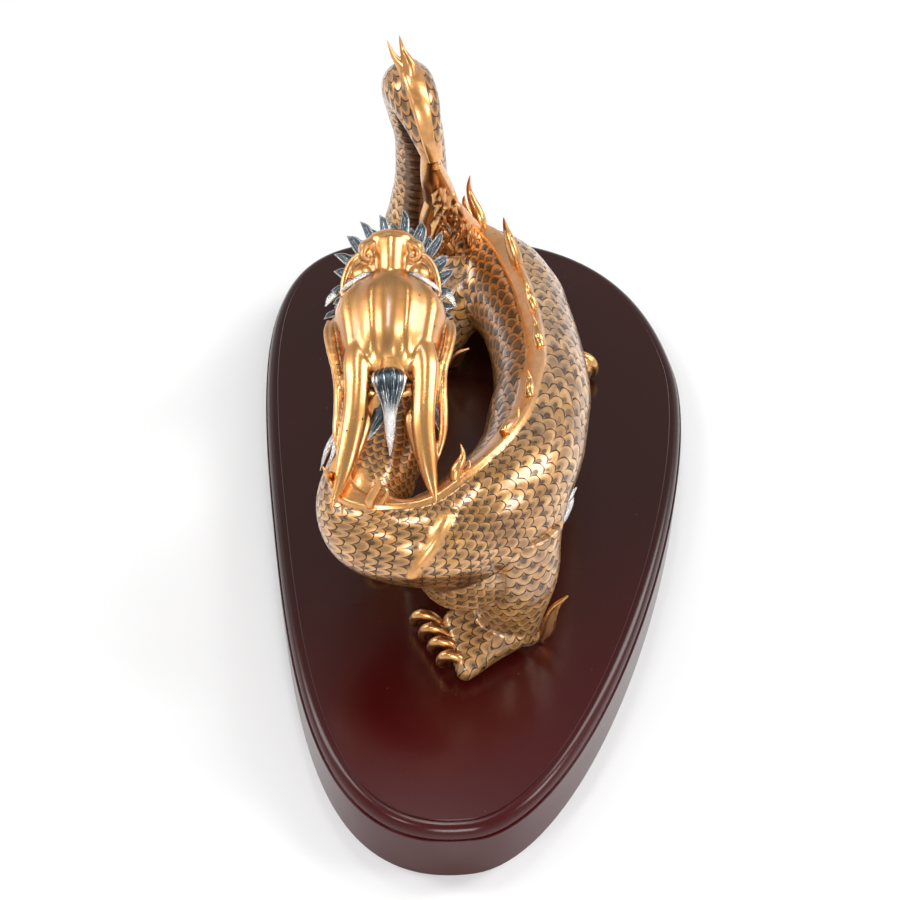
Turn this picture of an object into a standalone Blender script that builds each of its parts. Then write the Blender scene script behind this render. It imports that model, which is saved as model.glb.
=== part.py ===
"""Dragon cast in one piece, standing on an egg-shaped lacquered wooden plinth.

Metres, +Z up. The origin is the centre of the plinth's underside and +Y runs along its length,
from the narrow end to the broad one. Heights in the dragon's tables are above the plinth's top.
"""

import math
from collections import namedtuple

import bmesh
import bpy
from mathutils import Matrix, Vector

# Plinth
PLINTH_LENGTH = 0.455
PLINTH_WIDTH = 0.250
PLINTH_HEIGHT = 0.0368
MOULDING_DROP = 0.0074
MOULDING_INSET = 0.0074
MOULDING_STEP = 0.0010  # the small square step above and below the quarter round
OUTLINE_STEPS = 14  # points on each quarter of the outline
RESTING_GAP = 0.0003  # the dragon only rests on the plinth

# Where the plinth's outline is widest or longest, and how far each tangent handle reaches
NARROW_END = (-0.0446, -PLINTH_LENGTH / 2)
RIGHT_SIDE = (PLINTH_WIDTH / 2, 0.0786)
BROAD_END = (-0.0384, PLINTH_LENGTH / 2)
LEFT_SIDE = (-PLINTH_WIDTH / 2, 0.0075)
HANDLES = {  # outline corner: reach back along the outline, reach forward along it
    NARROW_END: (0.0750, 0.0687),
    RIGHT_SIDE: (0.0822, 0.1372),
    BROAD_END: (0.0665, 0.0668),
    LEFT_SIDE: (0.1629, 0.1485),
}

# Dragon: its spine from inside the skull to the tip of the tail. The ridge leans to the inside
# of the coil, turns to the far side of the rising tail and comes over its top.
Station = namedtuple("Station", "x y height radius ridge")
SPINE = (
    Station(-0.057, -0.025, 0.118, 0.0210, (0.0, -0.6, 0.8)),
    Station(-0.059, -0.038, 0.105, 0.0225, (-0.1, -0.6, 0.8)),
    Station(-0.063, -0.054, 0.095, 0.0235, (-0.4, -0.4, 0.8)),
    Station(-0.072, -0.071, 0.088, 0.0225, (-0.5, 0.0, 0.85)),
    Station(-0.081, -0.089, 0.083, 0.0212, (-0.4, 0.1, 0.9)),
    Station(-0.078, -0.106, 0.082, 0.0205, (-0.2, 0.3, 0.9)),
    Station(-0.062, -0.116, 0.081, 0.0215, (0.0, 0.42, 0.91)),
    Station(-0.041, -0.113, 0.079, 0.0245, (-0.1, 0.42, 0.91)),
    Station(-0.020, -0.100, 0.080, 0.0265, (-0.20, 0.38, 0.91)),
    Station(-0.003, -0.082, 0.078, 0.0270, (-0.22, 0.32, 0.92)),
    Station(0.010, -0.057, 0.074, 0.0265, (-0.19, 0.20, 0.96)),
    Station(0.019, -0.028, 0.069, 0.0265, (-0.16, 0.10, 0.98)),
    Station(0.026, -0.002, 0.064, 0.0260, (-0.15, 0.08, 0.98)),
    Station(0.031, 0.044, 0.053, 0.0258, (-0.14, 0.10, 0.98)),
    Station(0.031, 0.090, 0.043, 0.0268, (-0.12, 0.16, 0.97)),
    Station(0.024, 0.125, 0.037, 0.0285, (-0.08, 0.28, 0.95)),
    Station(0.006, 0.146, 0.034, 0.0275, (0.0, 0.42, 0.90)),
    Station(-0.012, 0.155, 0.039, 0.0235, (0.0, 0.55, 0.83)),
    Station(-0.022, 0.159, 0.054, 0.0200, (0.1, 0.9, 0.4)),
    Station(-0.021, 0.159, 0.073, 0.0172, (0.1, 1.0, 0.1)),
    Station(-0.019, 0.157, 0.096, 0.0155, (0.1, 1.0, 0.0)),
    Station(-0.020, 0.154, 0.127, 0.0142, (0.1, 1.0, 0.0)),
    Station(-0.024, 0.150, 0.149, 0.0144, (0.0, 1.0, 0.2)),
    Station(-0.027, 0.143, 0.165, 0.0146, (0.0, 0.8, 0.6)),
    Station(-0.028, 0.130, 0.175, 0.0143, (0.0, 0.2, 1.0)),
    Station(-0.025, 0.115, 0.172, 0.0130, (0.0, -0.6, 0.8)),
    Station(-0.022, 0.105, 0.161, 0.0110, (0.0, -1.0, 0.3)),
    Station(-0.019, 0.102, 0.148, 0.0080, (0.0, -1.0, 0.1)),
)
SPINE_STEP = 0.0095  # between two rings of the body
HORN_STEP = 0.009  # between two rings of a horn, claw, spike or leg
SHARPEST = 0.0004  # the least radius at a tip
RIDGE_HEIGHT = 0.0025
RIDGE_SHARE = 0.27  # half the ridge's width, as a share of the body's radius
BELLY_FLATTENING = 0.92
BACK_SPIKES = {  # how far along the spine each flame-shaped spike stands: how tall it is
    0.079: 0.011,
    0.099: 0.013,
    0.153: 0.017,
    0.191: 0.021,
    0.228: 0.011,
    0.277: 0.015,
    0.322: 0.013,
    0.378: 0.024,
    0.432: 0.024,
    0.475: 0.015,
    0.512: 0.014,
    0.548: 0.014,
}
SPIKE_LEAN = 0.35  # how far a spike's tip leans towards the tail, as a share of its height

# Head: a frame of its own, at the middle of the skull. s is to the dragon's right, f is forward
HEAD_CENTRE = (-0.057, -0.020, 0.130)
HEAD_TURN = math.radians(-8.0)
HEAD_LIFT = math.radians(12.0)
Section = namedtuple("Section", "forward up half_width half_height")
SKULL = (
    Section(-0.035, 0.000, 0.0160, 0.0080),
    Section(-0.028, -0.001, 0.0220, 0.0130),
    Section(-0.014, -0.002, 0.0275, 0.0175),
    Section(0.002, -0.002, 0.0295, 0.0190),
    Section(0.015, -0.002, 0.0290, 0.0170),
    Section(0.023, -0.004, 0.0250, 0.0130),
    Section(0.034, -0.004, 0.0205, 0.0115),
    Section(0.046, -0.001, 0.0175, 0.0115),
    Section(0.055, 0.002, 0.0175, 0.0115),
    Section(0.061, 0.002, 0.0130, 0.0085),
)
JAW = (
    Section(-0.014, -0.018, 0.0200, 0.0090),
    Section(0.006, -0.023, 0.0190, 0.0080),
    Section(0.030, -0.026, 0.0160, 0.0055),
    Section(0.052, -0.025, 0.0150, 0.0050),
    Section(0.062, -0.023, 0.0100, 0.0040),
)
HEAD_SIDES = 14
BEARD_LEAVES = 13
BEARD_SPREAD = 105  # degrees each side of straight ahead

# Legs
CLAW_LENGTH = 0.015

WALNUT_LACQUER = (0.075, 0.018, 0.016)
GILDING = (0.80, 0.45, 0.16)


def clear_scene():
    for thing in list(bpy.data.objects):
        bpy.data.objects.remove(thing)


def new_collection(name, shown=True):
    collection = bpy.data.collections.new(name)
    collection.hide_render = not shown
    bpy.context.scene.collection.children.link(collection)
    return collection


def material(name, colour, roughness, metallic):
    made = bpy.data.materials.new(name)
    made.use_nodes = True
    shader = made.node_tree.nodes["Principled BSDF"]
    shader.inputs["Base Color"].default_value = (*colour, 1.0)
    shader.inputs["Roughness"].default_value = roughness
    shader.inputs["Metallic"].default_value = metallic
    return made


def object_from(name, bm, collection):
    bmesh.ops.recalc_face_normals(bm, faces=bm.faces)
    mesh = bpy.data.meshes.new(name)
    bm.to_mesh(mesh)
    bm.free()
    mesh.shade_smooth()
    mesh.set_sharp_from_angle(angle=math.radians(40))
    made = bpy.data.objects.new(name, mesh)
    collection.objects.link(made)
    return made


# ---------------------------------------------------------------- smooth paths


def smooth_path(points, step):
    """Points about a step apart on the smooth curve through these points, of any dimension."""
    ends = [2 * points[0] - points[1], *points, 2 * points[-1] - points[-2]]
    path = []
    for before, start, end, after in zip(ends, ends[1:], ends[2:], ends[3:]):
        count = max(1, round((end - start).length / step))
        for i in range(count):
            t = i / count
            blend = 2 * start + t * (end - before)
            blend += t * t * (2 * before - 5 * start + 4 * end - after)
            blend += t * t * t * (3 * start - before - 3 * end + after)
            path.append(blend / 2)
    path.append(points[-1])
    return path


def above_plinth(x, y, height):
    return Vector((x, y, PLINTH_HEIGHT + height))


def spine_rings():
    """Rings along the spine: centre, ridge direction, sideways direction and radius."""
    centres = smooth_path([above_plinth(s.x, s.y, s.height) for s in SPINE], SPINE_STEP)
    ridges = smooth_along([Vector(s.ridge) for s in SPINE])
    radii = smooth_along([Vector((s.radius, 0.0)) for s in SPINE])
    rings = []
    for i, centre in enumerate(centres):
        along = centres[min(i + 1, len(centres) - 1)] - centres[max(i - 1, 0)]
        along.normalize()
        ridge = ridges[i] - ridges[i].dot(along) * along
        ridge.normalize()
        rings.append((centre, ridge, along.cross(ridge), radii[i].x))
    return rings


def smooth_along(values):
    """A value for every ring, from one for every station, in step with the spine's path."""
    stations = [above_plinth(s.x, s.y, s.height) for s in SPINE]
    found = []
    for i, (start, end) in enumerate(zip(stations, stations[1:])):
        count = max(1, round((end - start).length / SPINE_STEP))
        found += [values[i].lerp(values[i + 1], j / count) for j in range(count)]
    return found + [values[-1]]


# ---------------------------------------------------------------- plinth


def plinth_outline(collection):
    """The egg-shaped outline as a filled flat curve through its four extreme points."""
    curve = bpy.data.curves.new("plinth_outline", "CURVE")
    curve.dimensions = "2D"
    curve.fill_mode = "BOTH"
    curve.resolution_u = OUTLINE_STEPS
    curve.extrude = (PLINTH_HEIGHT - MOULDING_DROP) / 2
    spline = curve.splines.new("BEZIER")
    spline.bezier_points.add(len(HANDLES) - 1)
    spline.use_cyclic_u = True
    directions = (Vector((1, 0)), Vector((0, 1)), Vector((-1, 0)), Vector((0, -1)))
    for point, (corner, reach), forward in zip(spline.bezier_points, HANDLES.items(), directions):
        corner = Vector(corner)
        point.co = (*corner, 0.0)
        point.handle_left = (*(corner - forward * reach[0]), 0.0)
        point.handle_right = (*(corner + forward * reach[1]), 0.0)
    made = bpy.data.objects.new("plinth_outline", curve)
    collection.objects.link(made)
    made.location.z = curve.extrude
    return made


def moulding_steps():
    """The moulding from the slab's upper edge to the flat top: (inset, rise) of each strip."""
    round_inset = MOULDING_INSET - 2 * MOULDING_STEP
    round_rise = MOULDING_DROP - 2 * MOULDING_STEP
    steps = [(MOULDING_STEP, 0.0), (0.0, MOULDING_STEP)]
    strips = 3
    for i in range(strips):
        start = math.pi / 2 * i / strips
        end = math.pi / 2 * (i + 1) / strips
        inset = round_inset * (math.cos(start) - math.cos(end))
        rise = round_rise * (math.sin(end) - math.sin(start))
        steps.append((inset, rise))
    return steps + [(MOULDING_STEP, 0.0), (0.0, MOULDING_STEP)]


def make_plinth(collection, guides, finish):
    outline = plinth_outline(guides)
    graph = bpy.context.evaluated_depsgraph_get()
    mesh = bpy.data.meshes.new_from_object(outline.evaluated_get(graph))
    mesh.transform(outline.matrix_world)
    bm = bmesh.new()
    bm.from_mesh(mesh)
    bpy.data.objects.remove(outline)
    bmesh.ops.remove_doubles(bm, verts=bm.verts, dist=0.00001)
    bmesh.ops.dissolve_limit(bm, angle_limit=0.001, verts=bm.verts, edges=bm.edges)
    top = max(bm.faces, key=lambda face: face.calc_center_median().z)
    for inset, rise in moulding_steps():
        if inset:
            bmesh.ops.inset_region(bm, faces=[top], thickness=inset, use_even_offset=True)
            bmesh.ops.translate(bm, verts=top.verts, vec=(0, 0, rise))
        else:
            walls = bmesh.ops.extrude_face_region(bm, geom=[top])
            bmesh.ops.delete(bm, geom=[top], context="FACES_ONLY")
            top = next(face for face in walls["geom"] if isinstance(face, bmesh.types.BMFace))
            bmesh.ops.translate(bm, verts=top.verts, vec=(0, 0, rise))
    plinth = object_from("plinth", bm, collection)
    plinth.data.materials.append(finish)
    return plinth


# ---------------------------------------------------------------- dragon's pieces


def loft(name, rings, collection):
    """A closed skin over rings of the same number of points, with a flat cap at each end."""
    bm = bmesh.new()
    made = [[bm.verts.new(point) for point in ring] for ring in rings]
    for lower, upper in zip(made, made[1:]):
        for i, corner in enumerate(lower):
            bm.faces.new((lower[i - 1], corner, upper[i], upper[i - 1]))
    bm.faces.new(made[0])
    bm.faces.new(made[-1])
    return object_from(name, bm, collection)


def body_section(radius):
    """(sideways, towards the ridge) points round the body, with the raised ridge on top."""
    foot = math.asin(RIDGE_SHARE)
    half = [(RIDGE_SHARE * radius * 0.75, radius * math.cos(foot) + RIDGE_HEIGHT)]
    angles = [foot] + [math.radians(a) for a in (50, 80, 110, 140)]
    for angle in angles:
        flat = BELLY_FLATTENING if angle > math.pi / 2 else 1.0
        half.append((radius * math.sin(angle), radius * math.cos(angle) * flat))
    middle = (0.0, radius + RIDGE_HEIGHT)
    belly = (0.0, -radius * BELLY_FLATTENING)
    return [middle, *half, belly, *((-x, y) for x, y in reversed(half))]


def make_body(collection):
    rings = []
    for centre, ridge, side, radius in spine_rings():
        rings.append([centre + side * x + ridge * y for x, y in body_section(radius)])
    return loft("dragon", rings, collection)


def horn(name, points, radii, collection, sides=2):
    """A tapering form along a smooth curve through these points, with twice this many sides."""
    path = smooth_path([Vector((*p, r)) for p, r in zip(points, radii)], HORN_STEP)
    curve = bpy.data.curves.new(name, "CURVE")
    curve.dimensions = "3D"
    curve.bevel_depth = 1.0
    curve.bevel_resolution = sides - 2
    curve.use_fill_caps = True
    spline = curve.splines.new("POLY")
    spline.points.add(len(path) - 1)
    for point, place in zip(spline.points, path):
        point.co = (*place[:3], 1.0)
        point.radius = max(place[3], SHARPEST)
    made = bpy.data.objects.new(name, curve)
    collection.objects.link(made)
    graph = bpy.context.evaluated_depsgraph_get()
    mesh = bpy.data.meshes.new_from_object(made.evaluated_get(graph))
    bpy.data.objects.remove(made)
    bm = bmesh.new()
    bm.from_mesh(mesh)
    bmesh.ops.remove_doubles(bm, verts=bm.verts, dist=0.00001)
    return object_from(name, bm, collection)


def head_frame():
    turn = Matrix.Rotation(HEAD_TURN, 4, "Z") @ Matrix.Rotation(HEAD_LIFT, 4, "X")
    return Matrix.Translation(above_plinth(*HEAD_CENTRE)) @ turn


def head_loft(name, sections, collection):
    rings = []
    for part in sections:
        ring = []
        for i in range(HEAD_SIDES):
            angle = math.tau * i / HEAD_SIDES
            across = part.half_width * math.sin(angle)
            upward = part.up + part.half_height * math.cos(angle)
            ring.append(head_frame() @ Vector((across, part.forward, upward)))
        rings.append(ring)
    return loft(name, rings, collection)


def in_head(points, side=1):
    return [head_frame() @ Vector((side * s, f, u)) for s, f, u in points]


def make_head(collection):
    head_loft("skull", SKULL, collection)
    head_loft("jaw", JAW, collection)
    for side, word in ((-1, "left"), (1, "right")):
        main = ((0.015, -0.018, 0.006), (0.0175, -0.035, 0.006), (0.0175, -0.058, 0.002),
                (0.019, -0.075, -0.002), (0.024, -0.091, -0.006))
        horn(f"horn_{word}", in_head(main, side), (0.0085, 0.0075, 0.006, 0.0045, 0.0015),
             collection, 4)
        outer = ((0.0285, 0.012, 0.001), (0.0275, -0.008, 0.0), (0.0225, -0.027, 0.001),
                 (0.0225, -0.048, -0.001), (0.0225, -0.070, -0.005))
        horn(f"outer_horn_{word}", in_head(outer, side), (0.003, 0.004, 0.0045, 0.004, 0.001),
             collection)
        cheek = ((0.014, 0.054, 0.008), (0.023, 0.046, 0.006), (0.026, 0.032, 0.004),
                 (0.028, 0.016, 0.0))
        horn(f"cheek_{word}", in_head(cheek, side), (0.005, 0.0035, 0.003, 0.003), collection)
        eye = ((0.012, 0.040, 0.003), (0.017, 0.033, 0.005), (0.022, 0.024, 0.003))
        horn(f"eye_{word}", in_head(eye, side), (0.005, 0.0065, 0.005), collection)
        brow = ((0.006, 0.024, 0.011), (0.018, 0.023, 0.009), (0.030, 0.014, 0.004),
                (0.034, 0.004, 0.002))
        horn(f"brow_{word}", in_head(brow, side), (0.002, 0.003, 0.003, 0.001), collection)
    tuft = ((0.0, -0.022, 0.009), (0.0, -0.036, 0.009), (0.0, -0.050, 0.002), (0.0, -0.066, -0.006))
    horn("nape_tuft", in_head(tuft), (0.007, 0.007, 0.005, 0.001), collection)


def make_beard(collection):
    """Pointed leaves fanned out round the jaw, from one rear corner to the other."""
    for i in range(BEARD_LEAVES):
        turn = math.radians(BEARD_SPREAD * (2 * i / (BEARD_LEAVES - 1) - 1))
        root = Vector((0.012 * math.sin(turn), 0.032 + 0.026 * math.cos(turn), -0.024))
        tip = Vector((0.0335 * math.sin(turn), 0.040 + 0.051 * math.cos(turn), -0.012))
        points = in_head([root, root.lerp(tip, 0.6), tip])
        horn(f"beard_leaf_{i + 1}", points, (0.0042, 0.0040, 0.0006), collection, 2)


def make_mane(collection):
    """Locks of hair lying on the neck behind the jaw."""
    locks = (
        ((-0.070, -0.034, 0.116), (-0.078, -0.056, 0.108), (-0.095, -0.076, 0.099)),
        ((-0.066, -0.034, 0.122), (-0.072, -0.054, 0.116), (-0.084, -0.074, 0.105)),
        ((-0.044, -0.030, 0.116), (-0.036, -0.046, 0.106), (-0.034, -0.060, 0.096)),
    )
    for i, lock in enumerate(locks):
        points = [above_plinth(*point) for point in lock]
        horn(f"mane_lock_{i + 1}", points, (0.006, 0.006, 0.001), collection)


def make_spikes(collection):
    """Flame-shaped spikes along the ridge, leaning towards the tail."""
    rings = spine_rings()
    travelled = 0.0
    for (here, *_), (there, ridge, side, radius) in zip(rings, rings[1:]):
        step = (there - here).length
        back = (there - here).normalized()
        for along, tall in BACK_SPIKES.items():
            if not travelled < along <= travelled + step:
                continue
            foot = here + back * (along - travelled) + ridge * (radius - 0.002)
            lean = back * tall * SPIKE_LEAN
            points = (foot, foot + ridge * tall * 0.40 + lean * 0.3,
                      foot + ridge * tall * 0.75 + lean * 0.3, foot + ridge * tall * 1.10 + lean)
            girth = 0.0030 + 0.09 * tall
            radii = (girth, girth * 0.9, girth * 0.55, SHARPEST)
            horn(f"spike_{round(along * 1000)}", points, radii, collection)
        travelled += step
    crown = (((-0.030, 0.124, 0.186), (-0.035, 0.128, 0.195), (-0.040, 0.131, 0.206)),
             ((-0.029, 0.124, 0.186), (-0.030, 0.129, 0.197), (-0.033, 0.132, 0.208)))
    for i, flame in enumerate(crown):
        points = [above_plinth(*point) for point in flame]
        horn(f"tail_spike_{i + 1}", points, (0.0050, 0.0038, 0.0006), collection)


def make_tail_flames(collection):
    """The tuft at the tail's tip: curling locks that run down onto the far side of the coil."""
    locks = (
        ((-0.019, 0.103, 0.151), (-0.019, 0.112, 0.130), (-0.016, 0.124, 0.108),
         (-0.013, 0.132, 0.084), (-0.010, 0.138, 0.060)),
        ((-0.020, 0.104, 0.150), (-0.023, 0.116, 0.128), (-0.023, 0.130, 0.106),
         (-0.020, 0.138, 0.084), (-0.017, 0.142, 0.064)),
        ((-0.017, 0.108, 0.138), (-0.012, 0.119, 0.118), (-0.007, 0.129, 0.100),
         (-0.002, 0.136, 0.082), (0.003, 0.140, 0.064)),
        ((-0.018, 0.124, 0.112), (-0.022, 0.130, 0.096), (-0.024, 0.136, 0.078),
         (-0.020, 0.142, 0.062)),
    )
    for i, lock in enumerate(locks):
        points = [above_plinth(*point) for point in lock]
        radii = [0.0065, 0.0065, 0.0060, 0.0055, 0.0040][: len(points)]
        horn(f"tail_flame_{i + 1}", points, radii, collection, 4)


# ---------------------------------------------------------------- legs

Leg = namedtuple("Leg", "name muscle limb radii toes_from toes_to toes_forward spur")
LEGS = (
    Leg(
        name="left_fore",
        muscle=((-0.032, -0.108, 0.056), 0.0255),
        limb=((-0.010, -0.100, 0.068), (-0.008, -0.109, 0.046), (-0.009, -0.115, 0.024),
              (-0.009, -0.118, 0.006)),
        radii=(0.0275, 0.0240, 0.0205, 0.0165),
        toes_from=(-0.046, -0.107, 0.007),
        toes_to=(-0.036, -0.135, 0.007),
        toes_forward=(-0.90, 0.42, 0.0),
        spur=((0.003, -0.120, 0.004), (0.013, -0.119, 0.012), (0.020, -0.112, 0.028)),
    ),
    Leg(
        name="right_fore",
        muscle=((-0.042, -0.090, 0.060), 0.0200),
        limb=((-0.036, -0.092, 0.066), (-0.040, -0.076, 0.044), (-0.044, -0.062, 0.022),
              (-0.046, -0.054, 0.006)),
        radii=(0.0200, 0.0165, 0.0135, 0.0125),
        toes_from=(-0.064, -0.060, 0.007),
        toes_to=(-0.062, -0.038, 0.007),
        toes_forward=(-0.98, 0.10, 0.0),
        spur=((-0.038, -0.048, 0.006), (-0.034, -0.042, 0.014), (-0.032, -0.036, 0.024)),
    ),
    Leg(
        name="left_hind",
        muscle=((0.033, 0.098, 0.036), 0.0225),
        limb=((0.030, 0.099, 0.041), (0.038, 0.091, 0.029), (0.043, 0.083, 0.016),
              (0.045, 0.079, 0.006)),
        radii=(0.0200, 0.0170, 0.0140, 0.0115),
        toes_from=(0.058, 0.070, 0.007),
        toes_to=(0.046, 0.058, 0.007),
        toes_forward=(0.80, -0.60, 0.0),
        spur=((0.030, 0.084, 0.010), (0.022, 0.080, 0.016), (0.016, 0.076, 0.026)),
    ),
    Leg(
        name="right_hind",
        muscle=((-0.002, 0.130, 0.032), 0.0225),
        limb=((0.002, 0.134, 0.038), (-0.004, 0.118, 0.030), (-0.012, 0.108, 0.016),
              (-0.020, 0.102, 0.006)),
        radii=(0.0220, 0.0180, 0.0145, 0.0125),
        toes_from=(-0.042, 0.096, 0.007),
        toes_to=(-0.040, 0.114, 0.007),
        toes_forward=(-0.98, 0.0, 0.0),
        spur=((-0.012, 0.092, 0.008), (-0.008, 0.086, 0.014), (-0.006, 0.084, 0.022)),
    ),
)
TOES = 4
TOE_RADIUS = 0.0055
INSTEP_HEIGHT = 0.014
FOOT_SIDES = 10


def make_foot(leg, collection):
    """A wedge that widens from the ankle to the knuckles, and a claw that arches over from each."""
    ankle = Vector(leg.limb[-1])
    start = Vector(leg.toes_from)
    end = Vector(leg.toes_to)
    forward = Vector(leg.toes_forward).normalized()
    across = (end - start).normalized()
    spread = (end - start).length / 2
    rings = []
    for share in (0.0, 0.35, 0.7, 1.0):
        middle = ankle.lerp((start + end) / 2, share)
        half_width = leg.radii[-1] * (1 - share) + (spread + TOE_RADIUS) * share
        half_height = INSTEP_HEIGHT * (1 - share) + TOE_RADIUS * share
        ring = []
        for i in range(FOOT_SIDES):
            angle = math.tau * (i + 0.5) / FOOT_SIDES
            rise = half_height * math.sin(angle)
            corner = middle + across * half_width * math.cos(angle) + Vector((0, 0, rise))
            ring.append(above_plinth(*corner))
        rings.append(ring)
    loft(f"{leg.name}_foot", rings, collection)
    for i in range(TOES):
        knuckle = start.lerp(end, i / (TOES - 1))
        root = knuckle.lerp(ankle, 0.25)
        top = knuckle + forward * CLAW_LENGTH * 0.45 + Vector((0, 0, 0.005))
        over = knuckle + forward * CLAW_LENGTH * 0.85 + Vector((0, 0, 0.002))
        tip = knuckle + forward * CLAW_LENGTH * 0.95 + Vector((0, 0, -0.0045))
        claw = [above_plinth(*point) for point in (root, top, over, tip)]
        horn(f"{leg.name}_claw_{i + 1}", claw, (0.0042, 0.0036, 0.0028, 0.0006), collection)


def make_elbow_tuft(collection):
    """Two short locks that curl out behind the near foreleg's elbow."""
    locks = (
        ((0.008, -0.088, 0.072), (0.018, -0.086, 0.066), (0.023, -0.081, 0.067)),
        ((0.006, -0.096, 0.062), (0.017, -0.095, 0.056), (0.0245, -0.090, 0.055)),
    )
    for i, lock in enumerate(locks):
        points = [above_plinth(*point) for point in lock]
        horn(f"elbow_lock_{i + 1}", points, (0.0060, 0.0042, 0.0010), collection)


def make_muscle(leg, collection):
    """The swelling of the shoulder or thigh where the leg leaves the body."""
    place, radius = leg.muscle
    bm = bmesh.new()
    bmesh.ops.create_icosphere(bm, subdivisions=2, radius=radius)
    bmesh.ops.translate(bm, verts=bm.verts, vec=above_plinth(*place))
    object_from(f"{leg.name}_muscle", bm, collection)


def make_leg(leg, collection):
    make_muscle(leg, collection)
    limb = [above_plinth(*point) for point in leg.limb]
    horn(f"{leg.name}_leg", limb, leg.radii, collection, 5)
    spur = [above_plinth(*point) for point in leg.spur]
    horn(f"{leg.name}_spur", spur, (0.0040, 0.0032, 0.0008), collection)
    make_foot(leg, collection)


def join_into(whole, pieces):
    join = whole.modifiers.new("join", "BOOLEAN")
    join.operation = "UNION"
    join.operand_type = "COLLECTION"
    join.collection = pieces
    join.use_self = True
    for piece in pieces.objects:
        piece.hide_render = True
        piece.display_type = "WIRE"


def cut_soles(whole, cutters):
    """Takes off what reaches below the plinth's top, so that the dragon stands on flat soles."""
    depth = 0.060
    top = PLINTH_HEIGHT + RESTING_GAP
    bm = bmesh.new()
    bmesh.ops.create_cube(bm, size=1.0)
    bmesh.ops.scale(bm, verts=bm.verts, vec=(2 * PLINTH_WIDTH, 2 * PLINTH_LENGTH, depth))
    bmesh.ops.translate(bm, verts=bm.verts, vec=(0, 0, top - depth / 2))
    below = object_from("below_soles", bm, cutters)
    below.hide_render = True
    below.display_type = "WIRE"
    cut = whole.modifiers.new("flat soles", "BOOLEAN")
    cut.operation = "DIFFERENCE"
    cut.object = below


def make_dragon(collection, pieces, cutters, finish):
    dragon = make_body(collection)
    make_head(pieces)
    make_beard(pieces)
    make_mane(pieces)
    make_spikes(pieces)
    make_tail_flames(pieces)
    for leg in LEGS:
        make_leg(leg, pieces)
    make_elbow_tuft(pieces)
    join_into(dragon, pieces)
    cut_soles(dragon, cutters)
    dragon.data.materials.append(finish)
    return dragon


def main():
    clear_scene()
    sculpture = new_collection("dragon_sculpture")
    pieces = new_collection("dragon_pieces", shown=False)
    cutters = new_collection("cutters", shown=False)
    lacquer = material("lacquered wood", WALNUT_LACQUER, 0.25, 0.0)
    gilding = material("gilded glaze", GILDING, 0.22, 1.0)
    make_plinth(sculpture, cutters, lacquer)
    make_dragon(sculpture, pieces, cutters, gilding)


main()
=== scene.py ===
"""Finish and fine relief of a gilded porcelain dragon that stands on an egg-shaped lacquered plinth.

Metres, +Z up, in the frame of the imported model. Heights in the dragon's tables are above the
plinth's top, and the head's tables are in millimetres in the head's own frame.
"""

import math
from collections import namedtuple

import bpy
import numpy as np
from mathutils import Matrix, Vector
from mathutils.bvhtree import BVHTree


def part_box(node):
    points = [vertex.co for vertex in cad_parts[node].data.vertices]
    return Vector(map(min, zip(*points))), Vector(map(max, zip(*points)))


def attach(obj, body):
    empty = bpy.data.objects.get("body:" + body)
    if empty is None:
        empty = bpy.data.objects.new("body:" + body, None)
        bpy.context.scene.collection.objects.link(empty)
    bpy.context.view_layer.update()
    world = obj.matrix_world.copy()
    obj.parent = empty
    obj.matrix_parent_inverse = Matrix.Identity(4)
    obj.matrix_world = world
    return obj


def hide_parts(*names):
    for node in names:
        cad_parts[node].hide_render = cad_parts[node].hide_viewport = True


bl_info = {
    "name": "Gilded Dragon on a Plinth",
    "version": (1, 0, 0),
    "blender": (4, 5, 0),
    "location": "View3D > Sidebar > Dragon",
    "description": "Models the finish and the fine relief of a gilded dragon and its lacquered plinth",
    "category": "Object",
}

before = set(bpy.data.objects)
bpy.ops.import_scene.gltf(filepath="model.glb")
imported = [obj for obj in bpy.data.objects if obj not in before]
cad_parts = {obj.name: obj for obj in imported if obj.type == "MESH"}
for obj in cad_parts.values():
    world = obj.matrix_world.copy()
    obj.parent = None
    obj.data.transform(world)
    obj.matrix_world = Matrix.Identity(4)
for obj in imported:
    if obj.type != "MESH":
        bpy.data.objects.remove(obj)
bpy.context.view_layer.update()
PLINTH_LOW, PLINTH_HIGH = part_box("plinth")
PLINTH_TOP = PLINTH_HIGH.z
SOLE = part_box("dragon")[0].z

MM = 0.001

# ---------------------------------------------------------------- driving shapes

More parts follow.
